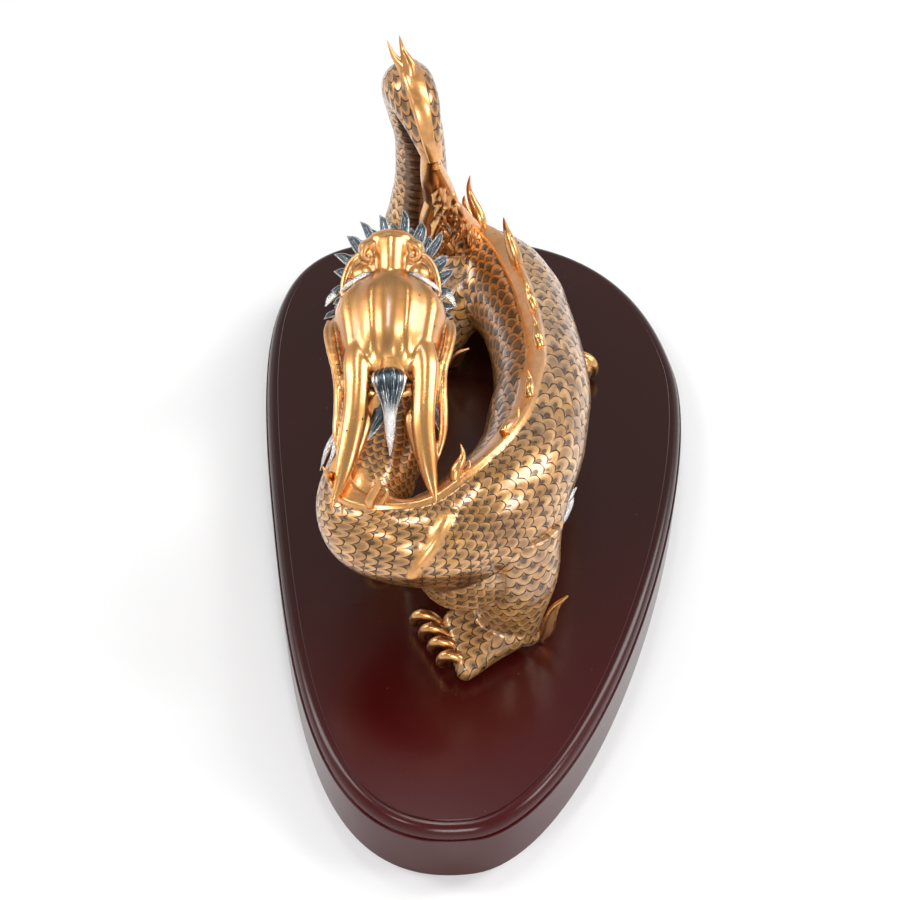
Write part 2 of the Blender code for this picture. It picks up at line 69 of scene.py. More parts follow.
# The spine from inside the skull to the tip of the tail: x, y, height, radius and where the ridge points
SPINE = (
    (-0.057, -0.025, 0.118, 0.0210, (0.0, -0.6, 0.8)),
    (-0.059, -0.038, 0.105, 0.0225, (-0.1, -0.6, 0.8)),
    (-0.063, -0.054, 0.095, 0.0235, (-0.4, -0.4, 0.8)),
    (-0.072, -0.071, 0.088, 0.0225, (-0.5, 0.0, 0.85)),
    (-0.081, -0.089, 0.083, 0.0212, (-0.4, 0.1, 0.9)),
    (-0.078, -0.106, 0.082, 0.0205, (-0.2, 0.3, 0.9)),
    (-0.062, -0.116, 0.081, 0.0215, (0.0, 0.42, 0.91)),
    (-0.041, -0.113, 0.079, 0.0245, (-0.1, 0.42, 0.91)),
    (-0.020, -0.100, 0.080, 0.0265, (-0.20, 0.38, 0.91)),
    (-0.003, -0.082, 0.078, 0.0270, (-0.22, 0.32, 0.92)),
    (0.010, -0.057, 0.074, 0.0265, (-0.19, 0.20, 0.96)),
    (0.019, -0.028, 0.069, 0.0265, (-0.16, 0.10, 0.98)),
    (0.026, -0.002, 0.064, 0.0260, (-0.15, 0.08, 0.98)),
    (0.031, 0.044, 0.053, 0.0258, (-0.14, 0.10, 0.98)),
    (0.031, 0.090, 0.043, 0.0268, (-0.12, 0.16, 0.97)),
    (0.024, 0.125, 0.037, 0.0285, (-0.08, 0.28, 0.95)),
    (0.006, 0.146, 0.034, 0.0275, (0.0, 0.42, 0.90)),
    (-0.012, 0.155, 0.039, 0.0235, (0.0, 0.55, 0.83)),
    (-0.022, 0.159, 0.054, 0.0200, (0.1, 0.9, 0.4)),
    (-0.021, 0.159, 0.073, 0.0172, (0.1, 1.0, 0.1)),
    (-0.019, 0.157, 0.096, 0.0155, (0.1, 1.0, 0.0)),
    (-0.020, 0.154, 0.127, 0.0142, (0.1, 1.0, 0.0)),
    (-0.024, 0.150, 0.149, 0.0144, (0.0, 1.0, 0.2)),
    (-0.027, 0.143, 0.165, 0.0146, (0.0, 0.8, 0.6)),
    (-0.028, 0.130, 0.175, 0.0143, (0.0, 0.2, 1.0)),
    (-0.025, 0.115, 0.172, 0.0122, (0.0, -0.6, 0.8)),
    (-0.022, 0.105, 0.161, 0.0082, (0.0, -1.0, 0.3)),
    (-0.019, 0.102, 0.148, 0.0056, (0.0, -1.0, 0.1)),
)
BODY_STEP = 0.0008  # between two rings of the body
BODY_SIDES = 176  # points round each ring
BODY_PARTING = 0.300  # how far along the spine the front piece meets the back piece
BELLY_FLATTENING = 0.08
RIDGE_SHARE = 0.21  # half the ridge's width, as a share of the body's radius
RIDGE_CREST = 0.62  # where the crest stands between the ridge's middle and its outer edge
RIDGE_HEIGHT = 0.0027
FULL_GIRTH = 0.0265  # the body's radius at which the ridge has its full height
BEND_LIMIT = 0.82  # how near the inside of a bend may come to the bend's centre
BEND_BLUR = 6  # the rings before and after one over which its bend is averaged
INNER_SIDE = -1  # which side of the ridge faces into the coil
BELLY_ANGLE = math.radians(142)  # where the belly plates begin, measured from the ridge
PLATE_PITCH = 0.0062
SCALE_WIDTH = 0.0072
SCALE_PITCH = 0.0066
SCALE_RELIEF = 0.00014
FRONT_SCALES = 0.60  # how small the scales are before the shoulder, as a share of those behind it
COIL_STRETCH = 0.42  # how much longer the scales are on the right coil
RIDGE_WIDER = 0.30  # how much wider the ridge is before the shoulder
TAIL_WIDER = 1.10  # and over the top of the tail

# Distances along the spine. A pair is where a change begins and where it is full, and a row of four
# is where a stretch begins, is full, begins to end and has ended.
RIDGE_WIDENS = (0.19, 0.13)
TAIL_RIDGE_WIDENS = (0.575, 0.605)
SCALES_GROW = (0.13, 0.23)
STRETCHED_COIL = (0.15, 0.23, 0.34, 0.42)
NECK_BEND = (0.068, 0.076, 0.124, 0.136)
# Where shade is painted into the scales: inside the coil, on the nape and along the neck
INNER_PAINTED_SHADE = (0.14, 0.20, 0.38, 0.46)
NAPE_PAINTED_SHADE = (0.075, 0.045)
NECK_PAINTED_SHADE = (0.19, 0.12)
NECK_BARE = (-0.05, 0.0, 0.65, 0.80)  # the bare inner side of the neck's bend, in radians from the ridge
# And distances before the tip of the tail
# Where shade is painted into the scales near the tail's tip
TIP_PAINTED_SHADE = (0.045, 0.030)
TIP_BARE = (0.013, 0.006)

# The smooth fold of muscle where the left foreleg leaves the body
FOLD = (
    (-0.0430, -0.1210, 0.1018), (-0.0463, -0.1258, 0.0993), (-0.0508, -0.1310, 0.0953),
    (-0.0549, -0.1338, 0.0913), (-0.0588, -0.1360, 0.0870), (-0.0605, -0.1368, 0.0835),
)
FOLD_HEIGHT = 0.0028
FOLD_WIDTH = 0.0037
SCALE_SPREAD = 3.2  # how far a scale's arc reaches across its neighbours: 4 just touches them, less overlaps
SCALE_TILT = 5.0  # how unevenly the scales lie, for the glints on them
FILLET = 0.011  # how far the fillet between a leg and the body reaches

# Each flame-shaped spike: how far along the spine it stands, its height, and its lean to the tail in degrees
BACK_SPIKES = (
    (0.079, 0.011, 0), (0.099, 0.013, 0), (0.153, 0.0125, 35), (0.191, 0.0135, 72), (0.228, 0.010, 35),
    (0.277, 0.013, 35), (0.322, 0.013, 25), (0.378, 0.024, 0), (0.432, 0.024, 0), (0.475, 0.015, 0),
    (0.512, 0.014, 0), (0.548, 0.014, 0),
)

# Each leg: the muscle's centre and radius, the limb's points and radii, the two ends of the row of
# knuckles, which way the toes point, and the spur behind the heel
Leg = namedtuple("Leg", "name muscle girth limb radii toes_from toes_to forward spur")
LEGS = (
    Leg("left_fore", (-0.032, -0.108, 0.056), 0.0255,
        limb=((-0.010, -0.100, 0.068), (-0.008, -0.108, 0.046), (-0.0085, -0.1115, 0.024),
              (-0.0075, -0.1120, 0.006)),
        radii=(0.0275, 0.0240, 0.0188, 0.0145),
        toes_from=(-0.046, -0.107, 0.007), toes_to=(-0.036, -0.135, 0.007), forward=(-0.95, 0.30, 0),
        spur=((0.0055, -0.1205, 0.002), (0.0090, -0.1210, 0.009), (0.0105, -0.1205, 0.018),
              (0.0132, -0.1195, 0.026), (0.0195, -0.1190, 0.0335))),
    Leg("right_fore", (-0.042, -0.090, 0.060), 0.0200,
        limb=((-0.036, -0.092, 0.066), (-0.040, -0.076, 0.044), (-0.044, -0.062, 0.022),
              (-0.046, -0.054, 0.006)),
        radii=(0.0200, 0.0165, 0.0135, 0.0125),
        toes_from=(-0.064, -0.060, 0.007), toes_to=(-0.062, -0.038, 0.007), forward=(-0.98, 0.10, 0),
        spur=((-0.038, -0.048, 0.003), (-0.033, -0.045, 0.010), (-0.031, -0.043, 0.017),
              (-0.030, -0.040, 0.022), (-0.029, -0.035, 0.027))),
    Leg("left_hind", (0.033, 0.098, 0.036), 0.0225,
        limb=((0.030, 0.099, 0.041), (0.038, 0.091, 0.029), (0.043, 0.083, 0.016), (0.045, 0.079, 0.006)),
        radii=(0.0200, 0.0170, 0.0140, 0.0115),
        toes_from=(0.058, 0.0785, 0.007), toes_to=(0.050, 0.0665, 0.007), forward=(0.92, -0.38, 0),
        spur=((0.036, 0.072, 0.004), (0.030, 0.069, 0.010), (0.028, 0.067, 0.017), (0.026, 0.065, 0.022),
              (0.022, 0.062, 0.027))),
    Leg("right_hind", (-0.002, 0.130, 0.032), 0.0225,
        limb=((0.002, 0.134, 0.038), (-0.004, 0.118, 0.030), (-0.012, 0.108, 0.016),
              (-0.020, 0.102, 0.006)),
        radii=(0.0220, 0.0180, 0.0145, 0.0125),
        toes_from=(-0.042, 0.096, 0.007), toes_to=(-0.040, 0.114, 0.007), forward=(-0.98, 0, 0),
        spur=((-0.014, 0.091, 0.004), (-0.009, 0.087, 0.010), (-0.007, 0.085, 0.017),
              (-0.005, 0.083, 0.022), (-0.001, 0.080, 0.027))),
)
CLAWS = 4
TOE_TUBES = 9  # overlapping tubes that make one wedge-shaped foot
TOE_RADIUS = 0.0062
LEG_SCALES = 0.84  # how wide a leg's scales are, as a share of the body's
LEG_SCALE_PITCH = 0.80  # and how long
FOOT_TOP = 0.021  # how high over the plinth the foot's own scales reach
LEG_GRAIN = 0.00088  # between points of the fused legs
CLAW_GRAIN = 0.00055  # of the claws
SPIKE_GRAIN = 0.00052  # and of the spikes on the back
# How tightly a hollow curves, per metre, where its painted shade begins and where it is darkest
HOLLOW_CURVE = (60.0, 420.0)

HEAD_CENTRE = (-0.057, -0.020, 0.130)
HEAD_TURN = math.radians(-8.0)
HEAD_LIFT = math.radians(12.0)


# ---------------------------------------------------------------- helpers


def catmull(values, t):
    """The smooth curve through these rows of numbers, at places given in rows."""
    rows = np.asarray(values, float)
    ends = np.vstack([2 * rows[0] - rows[1], rows, 2 * rows[-1] - rows[-2]])
    i = np.clip(np.floor(t).astype(int), 0, len(rows) - 2)
    f = (t - i)[:, None]
    a, b, c, d = ends[i], ends[i + 1], ends[i + 2], ends[i + 3]
    curved = f**2 * (2 * a - 5 * b + 4 * c - d) + f**3 * (3 * b - a - 3 * c + d)
    return 0.5 * (2 * b + f * (c - a) + curved)


def even_curve(values, step, place=3):
    """The curve through these rows, sampled evenly along the length of its first columns."""
    t = np.linspace(0, len(values) - 1, 40 * (len(values) - 1) + 1)
    rows = catmull(values, t)
    length = np.r_[0, np.cumsum(np.linalg.norm(np.diff(rows[:, :place], axis=0), axis=1))]
    count = max(4, round(length[-1] / step))
    at = np.linspace(0, length[-1], count + 1)
    return catmull(values, np.interp(at, length, t)), at


def unit(vectors):
    return vectors / np.maximum(np.linalg.norm(vectors, axis=-1, keepdims=True), 1e-12)


def smoothstep(low, high, x):
    """0 before low, 1 past high and eased between them, where low may be the larger."""
    t = np.clip((x - low) / (high - low), 0, 1)
    return t * t * (3 - 2 * t)


def stretch(x, begins, full, ending, ended):
    """1 along a stretch, easing from 0 before it and to 0 after it."""
    return smoothstep(begins, full, x) * smoothstep(ended, ending, x)


def above_plinth(points):
    return np.asarray(points, float) + (0, 0, PLINTH_TOP)


def head_matrix():
    turn = Matrix.Rotation(HEAD_TURN, 4, "Z") @ Matrix.Rotation(HEAD_LIFT, 4, "X")
    x, y, z = HEAD_CENTRE
    return Matrix.Translation((x, y, z + PLINTH_TOP)) @ turn


def in_head(points):
    """Points given in millimetres in the head's frame, in metres in the model's frame."""
    turn = np.array(head_matrix())
    return (np.asarray(points, float) * MM) @ turn[:3, :3].T + turn[:3, 3]


def deselect():
    bpy.ops.object.select_all(action="DESELECT")


def activate(thing):
    deselect()
    thing.select_set(True)
    bpy.context.view_layer.objects.active = thing


def modify(thing, kind, **settings):
    """Adds a modifier with these settings and applies it."""
    activate(thing)
    bpy.ops.object.modifier_add(type=kind)
    modifier = thing.modifiers[-1]
    for name, value in settings.items():
        setattr(modifier, name, value)
    bpy.ops.object.modifier_apply(modifier=modifier.name)


def join(name, parts):
    """Makes these parts one object of this name, without fusing their skins."""
    deselect()
    for part in parts:
        part.select_set(True)
    bpy.context.view_layer.objects.active = parts[0]
    if len(parts) > 1:
        bpy.ops.object.join()
    whole = bpy.context.view_layer.objects.active
    whole.name = name
    whole.data.name = name
    return whole


def clay(name, parts, voxel, rounds):
    """Fuses overlapping forms into one skin and softens it for some rounds."""
    whole = join(name, parts)
    modify(whole, "REMESH", mode="VOXEL", voxel_size=voxel, use_smooth_shade=True)
    modify(whole, "SMOOTH", factor=0.5, iterations=rounds)
    return whole


def point_places(thing):
    return np.array([point.co for point in thing.data.vertices])


def point_normals(thing):
    return np.array([point.normal for point in thing.data.vertices])


def grooves(thing):
    """How deep in a hollow each point of a fused piece lies, from 0 to 1: the strength of the shade painted
    there.
    """
    points, normals = point_places(thing), point_normals(thing)
    ends = np.array([edge.vertices[:] for edge in thing.data.edges])
    ends = np.concatenate([ends, ends[:, ::-1]])
    first, second = ends[:, 0], ends[:, 1]
    count = np.bincount(first, minlength=len(points))
    step = points[second] - points[first]
    curve = 2 * (step * normals[first]).sum(1) / (step**2).sum(1)
    curve = np.bincount(first, curve, minlength=len(points)) / count
    for _ in range(5):
        curve = 0.5 * curve + 0.5 * np.bincount(first, curve[second], minlength=len(points)) / count
    return smoothstep(*HOLLOW_CURVE, curve)


def mesh_object(name, points, faces):
    """A smooth-shaded object from points and faces."""
    mesh = bpy.data.meshes.new(name)
    mesh.from_pydata(np.asarray(points).tolist(), [], faces)
    mesh.validate()
    mesh.shade_smooth()
    made = bpy.data.objects.new(name, mesh)
    bpy.context.scene.collection.objects.link(made)
    return made


def put_values(thing, name, values, kind="FLOAT"):
    """Stores a value at each point of a piece, which its material reads by this name."""
    attribute = thing.data.attributes.new(name, kind, "POINT")
    field = "vector" if kind == "FLOAT_VECTOR" else "value"
    attribute.data.foreach_set(field, np.asarray(values, np.float32).ravel())


def tube_faces(rings, sides):
    """Quads between rings of points, and a cap on each end, facing outwards."""
    i = np.arange(rings - 1)[:, None] * sides
    j = np.arange(sides)[None, :]
    k = (j + 1) % sides
    quads = np.stack([i + j, i + k, i + sides + k, i + sides + j], -1).reshape(-1, 4).tolist()
    start = list(range(sides))[::-1]
    end = [(rings - 1) * sides + n for n in range(sides)]
    return [*quads, start, end]


def carry_frame(centres, up):
    """Along, up and side directions at each point of a path, with up carried along it."""
    along = unit(np.gradient(centres, axis=0))
    ups = np.empty_like(centres)
    current = np.asarray(up, float)
    for n, direction in enumerate(along):
        current = current - current.dot(direction) * direction
        current = current / max(np.linalg.norm(current), 1e-9)
        ups[n] = current
    return along, ups, np.cross(along, ups)


def lock(name, points, widths, flat=1.0, up=(0, 0, 1), sides=16, ribs=0, rib_depth=0.0, step=0.0012,
         dark=0.9):
    """A tapering lock, horn, claw or leaf along a smooth curve, with ribs along it if wanted.

    Widths are half widths in metres at each point, flat is its thickness as a share of them, and dark
    is how far along it the dark silvering runs.
    """
    rows = np.column_stack([points, widths])
    path, _ = even_curve(rows, step)
    centres, half = path[:, :3], np.maximum(path[:, 3], 0.0002)
    _, ups, across = carry_frame(centres, up)
    angle = math.tau * np.arange(sides) / sides
    ribbed = 1 - rib_depth * (0.5 + 0.5 * np.cos(ribs * angle)) if ribs else np.ones(sides)
    x = half[:, None] * (ribbed * np.cos(angle))[None, :]
    y = half[:, None] * (ribbed * np.sin(angle))[None, :] * flat
    skin = centres[:, None] + across[:, None] * x[..., None] + ups[:, None] * y[..., None]
    made = mesh_object(name, skin.reshape(-1, 3), tube_faces(len(centres), sides))
    share = np.repeat(np.linspace(0, 1, len(centres)), sides)
    put_values(made, "along", share)
    put_values(made, "around", np.tile(angle, len(centres)))
    put_values(made, "dark", smoothstep(dark + 0.10, dark - 0.10, share))
    return made


def ball(centre, radii):
    """A stretched ball in the head's frame, in millimetres."""
    bpy.ops.mesh.primitive_uv_sphere_add(segments=40, ring_count=20, radius=MM)
    made = bpy.context.object
    place = Matrix.LocRotScale(Vector(centre) * MM, None, Vector(radii))
    made.data.transform(head_matrix() @ place)
    return made


def finish_piece(thing, material, node):
    """Gives a piece its material, and says what it rides on and what it replaces."""
    thing.data.materials.clear()
    thing.data.materials.append(material)
    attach(thing, "root")
    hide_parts(node)
    return thing


# ---------------------------------------------------------------- scales


def wander(a, b, size, seed):
    """A smooth irregular value between about -1 and 1, for places given by two lengths."""
    total = 0.0
    for n in range(4):
        turn = seed + 2.399 * n
        along = (a * np.cos(turn) + b * np.sin(turn)) / size
        total = total + np.sin(along * (1 + 0.37 * n) + 3.1 * turn)
    return total / 2.6


def scallops(u, v):
    """The height of overlapping scales, 0 at a root and 1 at a lip, each one u wide and two v long."""
    row = np.floor(v)
    within = v - row

    def across(line):
        shifted = u - 0.5 * (line % 2)
        return shifted - np.round(shifted)

    upper, lower = across(row), across(row + 1)
    rim = np.sqrt(SCALE_SPREAD * upper**2 + within**2)
    top = 0.5 * (within + 1) - 0.5 * upper**2
    under = 0.5 * within - 0.5 * lower**2
    return top + (under - top) * smoothstep(0.95, 1.10, rim)


# ---------------------------------------------------------------- body


def blurred(rows):
    """Each row averaged with the rows near it."""
    window = 2 * BEND_BLUR + 1
    padded = np.pad(rows, ((BEND_BLUR, BEND_BLUR), (0, 0)), mode="edge")
    return np.column_stack([np.convolve(column, np.ones(window) / window, "valid") for column in padded.T])


def body_grid():
    """The smooth body without scales: its points, normals, and each point's place on the body.

    A place is the distance along the spine, the angle from the ridge, the body's radius, the distance
    from the ridge's middle as a share of its half width and in metres, and that half width.
    """
    rows = [(x, y, PLINTH_TOP + height, radius, *ridge) for x, y, height, radius, ridge in SPINE]
    path, at = even_curve(rows, BODY_STEP)
    centres, radius, ridge = path[:, :3], path[:, 3], path[:, 4:7]
    along = unit(np.gradient(centres, axis=0))
    ridge = unit(ridge - (ridge * along).sum(1, keepdims=True) * along)
    side = np.cross(along, ridge)
    angle = math.tau * (np.arange(BODY_SIDES) + 0.5) / BODY_SIDES - math.pi
    off = angle[None, :] * radius[:, None]
    wider = 1 + RIDGE_WIDER * smoothstep(*RIDGE_WIDENS, at) + TAIL_WIDER * smoothstep(*TAIL_RIDGE_WIDENS, at)
    half = (RIDGE_SHARE * wider * radius)[:, None]
    x = off / half
    # across the ridge: a small step at its inner edge, a slope up to the crest, and a quarter round down
    rise = smoothstep(-1.10, -0.94, x) * (0.28 + 0.72 * np.clip((x + 1) / (1 + RIDGE_CREST), 0, 1) ** 1.2)
    fall = np.clip((1.06 - x) / (1.06 - RIDGE_CREST), 0, 1)
    crest = np.minimum(rise, np.sin(fall * math.pi / 2) ** 0.9)
    height = RIDGE_HEIGHT * np.sqrt(radius / FULL_GIRTH)[:, None] * crest
    outer = radius[:, None] + height
    # where the spine bends, the inside of the body stops short of the bend's centre
    bend = blurred(np.gradient(along, axis=0) / BODY_STEP)
    sideways, ridgeways = (bend * side).sum(1)[:, None], (bend * ridge).sum(1)[:, None]
    toward = (sideways * np.sin(angle) + ridgeways * np.cos(angle)) * outer
    outer = outer * BEND_LIMIT / np.maximum(toward, BEND_LIMIT)
    flat = 1 - BELLY_FLATTENING * smoothstep(0, 1, -np.cos(angle))
    points = (centres[:, None] + side[:, None] * (outer * np.sin(angle))[..., None]
              + ridge[:, None] * (outer * np.cos(angle) * flat)[..., None])
    return points, grid_normals(points), (at, angle, radius, x, off, half)


def grid_normals(points):
    """Outward normals of rings of points, whose last point in each ring is beside the first."""
    down = np.gradient(points, axis=0)
    closed = np.concatenate([points[:, -1:], points, points[:, :1]], axis=1)
    round_it = (closed[:, 2:] - closed[:, :-2]) / 2
    return unit(np.cross(round_it, down))


def swell(points, other, reach):
    """How far a surface rises towards another mesh beside it, which makes a fillet between them."""
    places = point_places(other)
    near = np.where(((points > places.min(0) - reach) & (points < places.max(0) + reach)).all(-1))[0]
    tree = BVHTree.FromPolygons(places.tolist(), [tuple(face.vertices) for face in other.data.polygons])
    raised = np.zeros(len(points))
    for n in near:
        _, _, _, distance = tree.find_nearest(Vector(points[n]), reach)
        if distance is not None:
            raised[n] = reach / 4 * (1 - distance / reach) ** 2
    return raised


def make_body(material):
    """The scaled body in two pieces, filleted to the legs, with its ridge and its belly plates."""
    points, normals, (at, angle, radius, x, off, half) = body_grid()
    shape = points.shape[:2]
    raised = np.zeros(shape)
    for leg in LEGS:
        limb = bpy.data.objects[f"dragon_{leg.name}_leg"]
        raised = np.maximum(raised, swell(points.reshape(-1, 3), limb, FILLET).reshape(shape))
    fold = np.zeros(shape)
    for place in even_curve(above_plinth(FOLD), 0.001)[0]:
        fold = np.maximum(fold, np.exp(-(np.linalg.norm(points - place, axis=-1) / FOLD_WIDTH) ** 2))
    raised = np.maximum(raised, FOLD_HEIGHT * fold)
    points = points + normals * raised[..., None]
    normals = grid_normals(points)

    # where each point lies on the scales, which are laid from the ridge down on each side
    flank = np.sign(angle)[None, :] * 1.7
    length = at[:, None] + 0 * off
    size = 0.80 + 0.20 * smoothstep(0.014, 0.024, radius)
    size = size * (FRONT_SCALES + (1 - FRONT_SCALES) * smoothstep(*SCALES_GROW, at))
    width = SCALE_WIDTH * (0.15 + 0.85 * size)[:, None]
    pitch = SCALE_PITCH * size * (1 + COIL_STRETCH * stretch(at, *STRETCHED_COIL))
    rows = np.r_[0, np.cumsum(np.diff(at) / pitch[:-1])][:, None]
    u = (np.abs(off) - half) / width + 0.20 * wander(length, off, 0.0060, 1.0 + flank)
    v = rows + 0.20 * wander(length, off, 0.0065, 4.0 + flank) + 0.5 * (flank > 0)

    # the bare ridge, the bare inside of the neck's bend and the fold, and the plated belly
    tip = smoothstep(at[-1] - TIP_BARE[0], at[-1] - TIP_BARE[1], at)[:, None]
    ridge = np.maximum(1 - smoothstep(0.97, 1.05, np.abs(x)), tip)
    bare = stretch(at, *NECK_BEND)[:, None] * stretch(angle * INNER_SIDE, *NECK_BARE)[None, :]
    ridge = np.maximum(np.maximum(ridge, bare), smoothstep(0.30, 0.50, fold))
    belly = smoothstep(BELLY_ANGLE - 0.03, BELLY_ANGLE + 0.03, np.abs(angle))[None, :] + 0 * x
    scales = SCALE_RELIEF * (scallops(u, v) - 0.3)
    plate = (at[:, None] / PLATE_PITCH + 0.25 * np.cos(angle)[None, :]) % 1
    plates = SCALE_RELIEF * 1.2 * (plate * smoothstep(1.0, 0.85, plate) - 0.4)
    relief = scales * (1 - ridge) * (1 - belly) + plates * belly
    points = points + normals * relief[..., None]
    normals = grid_normals(points)

    # painted shade: the scales are darker inside the coil, on the nape, a little along the neck, and near the
    # tail's tip
    cell = np.stack([u + 40 * (flank > 0), v, rows + 0 * u], -1)
    coil_painted_shade = stretch(at, *INNER_PAINTED_SHADE)[:, None] * (np.sin(angle) * INNER_SIDE > 0)[None, :]
    tail = 0.75 * smoothstep(at[-1] - TIP_PAINTED_SHADE[0], at[-1] - TIP_PAINTED_SHADE[1], at)
    ends = np.maximum(np.maximum(smoothstep(*NAPE_PAINTED_SHADE, at), tail), 0.28 * smoothstep(*NECK_PAINTED_SHADE, at))
    deep = np.maximum(0.95 * coil_painted_shade, ends[:, None] + 0 * u)

    split = int(np.searchsorted(at, BODY_PARTING))
    for name, first, last in (("neck_and_flank", 0, split), ("loin_and_tail", split, len(at) - 1)):
        part = slice(first, last + 1)
        faces = tube_faces(last + 1 - first, BODY_SIDES)
        piece = mesh_object(f"dragon_{name}", points[part].reshape(-1, 3), faces)
        put_values(piece, "scale_place", cell[part].reshape(-1, 3), "FLOAT_VECTOR")
        # deep carries the painted shade to the material
        for label, values in (("ridge", ridge), ("belly", belly), ("deep", deep)):
            put_values(piece, label, values[part])
        piece.data.normals_split_custom_set_from_vertices(normals[part].reshape(-1, 3).tolist())
        finish_piece(piece, material, "dragon")


def ridge_place(grid, along):
    """A point on the ridge's crest at this distance along the spine, and which way is outward and onward."""
    points, normals, (at, angle, *_) = grid
    row = int(np.searchsorted(at, along))
    column = int(np.argmin(np.abs(angle - RIDGE_SHARE * 0.35)))
    onward = unit(points[min(row + 4, len(at) - 1), column] - points[max(row - 4, 0), column])
    return points[row, column], normals[row, column], onward


# ---------------------------------------------------------------- legs


def block_ball(centre, radius):
    """A round ball, its centre given above the plinth."""
    bpy.ops.mesh.primitive_uv_sphere_add(segments=32, ring_count=16, radius=radius,
                                         location=above_plinth(centre))
    bpy.ops.object.transform_apply(location=True, rotation=False, scale=False)
    return bpy.context.object


def leg_form(leg):
    """A leg's limb, muscle, heel and wedge of toes, fused and cut flat at the sole."""
    ankle = np.array(leg.limb[-1])
    forward = unit(np.array(leg.forward, float))
    row = unit(np.array(leg.toes_to) - np.array(leg.toes_from))
    start = np.array(leg.toes_from) - forward * 0.0035
    end = np.array(leg.toes_to) + forward * 0.0050 + row * 0.0045
    middle = (start + end) / 2
    parts = [lock("limb", above_plinth(leg.limb), leg.radii, up=(0, 1, 0), sides=32, step=0.003),
             block_ball(leg.muscle, leg.girth)]
    for n in range(TOE_TUBES):
        knuckle = start + (end - start) * n / (TOE_TUBES - 1)
        spread = ankle + (knuckle - middle) * 0.45
        path = [spread + (0, 0, 0.007), (spread + knuckle) / 2 + (0, 0, 0.003), knuckle - forward * 0.002,
                knuckle]
        widths = (0.0110, 0.0085, TOE_RADIUS, 0.004)
        parts.append(lock("toe", above_plinth(path), widths, sides=20, step=0.003))
    heel = ankle - forward * leg.radii[-1] * 0.45
    parts.append(block_ball(heel, leg.radii[-1] * 0.75))
    made = clay(f"dragon_{leg.name}_leg", parts, LEG_GRAIN, 6)
    bpy.ops.object.mode_set(mode="EDIT")
    bpy.ops.mesh.select_all(action="SELECT")
    bpy.ops.mesh.bisect(plane_co=(0, 0, SOLE), plane_no=(0, 0, 1), clear_inner=True, use_fill=True)
    bpy.ops.object.mode_set(mode="OBJECT")
    return made, middle


def make_leg(leg, body, material):
    """One leg filleted to the body, with scales round the limb, down the muscle and along the foot."""
    made, middle = leg_form(leg)
    points, normals = point_places(made), point_normals(made)
    raised = swell(points, body, FILLET)
    width, pitch = SCALE_WIDTH * LEG_SCALES, SCALE_PITCH * LEG_SCALE_PITCH
    axis = above_plinth(leg.limb)[::-1]
    drop = axis[-1, 2] - points[:, 2]
    out = points[:, :2] - np.column_stack([np.interp(points[:, 2], axis[:, 2], axis[:, n]) for n in (0, 1)])
    turned = np.arctan2(out[:, 0], -out[:, 1])
    girdle = round(math.tau * leg.radii[2] / width)
    round_limb = turned * leg.radii[2]
    u = turned / math.tau * girdle + 0.16 * wander(drop, round_limb, 0.006, 2.2)
    v = drop / pitch + 0.16 * wander(drop, round_limb, 0.0065, 5.0)

    muscle = above_plinth([leg.muscle])[0]
    bulge = unit(points - muscle)
    pole = unit(np.array(leg.muscle) - np.array(leg.limb[2]))
    outward = unit(pole * (1, 1, 0) - pole * (pole[:2] ** 2).sum())
    turned = np.arctan2(bulge @ np.cross(pole, outward), bulge @ outward) * leg.girth
    fall = np.arccos(np.clip(bulge @ pole, -1, 1)) * leg.girth
    near_muscle = np.linalg.norm(points - muscle, axis=1) < leg.girth * 1.08
    past_limb = np.linalg.norm(out, axis=1) > leg.radii[1] * 0.98
    bulged = near_muscle & past_limb & (fall < leg.girth * 2.3)
    u = np.where(bulged, turned / width + 0.16 * wander(fall, turned, 0.006, 3.1), u)
    v = np.where(bulged, fall / pitch + 0.16 * wander(fall, turned, 0.0065, 5.7), v)

    forward = unit(np.array(leg.forward, float))
    across_foot = np.cross(forward, (0, 0, 1))
    past = (points - above_plinth([leg.limb[-1]])[0]) @ forward
    on_foot = (past > leg.radii[-1] * 0.55) & (points[:, 2] < PLINTH_TOP + FOOT_TOP)
    u = np.where(on_foot, (points - above_plinth([middle])[0]) @ across_foot / width + 0.25, u)
    v = np.where(on_foot, (past + 0.4 * (points[:, 2] - SOLE)) / pitch + 0.3, v)

    free = smoothstep(SOLE + 0.0005, SOLE + 0.004, points[:, 2])
    relief = SCALE_RELIEF * 1.4 * (scallops(u, v) - 0.3) * free
    moved = points + normals * (raised + relief)[:, None]
    moved[:, 2] = np.where(points[:, 2] < SOLE + 0.0002, SOLE, np.maximum(moved[:, 2], SOLE))
    made.data.vertices.foreach_set("co", moved.astype(np.float32).ravel())
    made.data.update()
    put_values(made, "scale_place", np.column_stack([u + 80, v, v]), "FLOAT_VECTOR")
    for label in ("ridge", "belly", "deep"):
        put_values(made, label, np.zeros(len(points)))
    put_values(made, "soft", np.ones(len(points)))
    return finish_piece(made, material, "dragon")


# A claw from its root to its hooked tip: how far forward, how high, and its half width
CLAW = (
    (-0.0030, -0.0020, 0.0032), (0.0000, 0.0020, 0.0032), (0.0030, 0.0050, 0.0031), (0.0066, 0.0060, 0.0030),
    (0.0098, 0.0046, 0.0029), (0.0117, 0.0014, 0.0026), (0.0116, -0.0018, 0.0020), (0.0100, -0.0042, 0.0008),
)
SPUR_WIDTHS = (0.0024, 0.0034, 0.0032, 0.0022, 0.0005)
SPUR_EDGES = (0.0016, 0.0027, 0.0026, 0.0015, 0.0)  # how far out its raised edges run


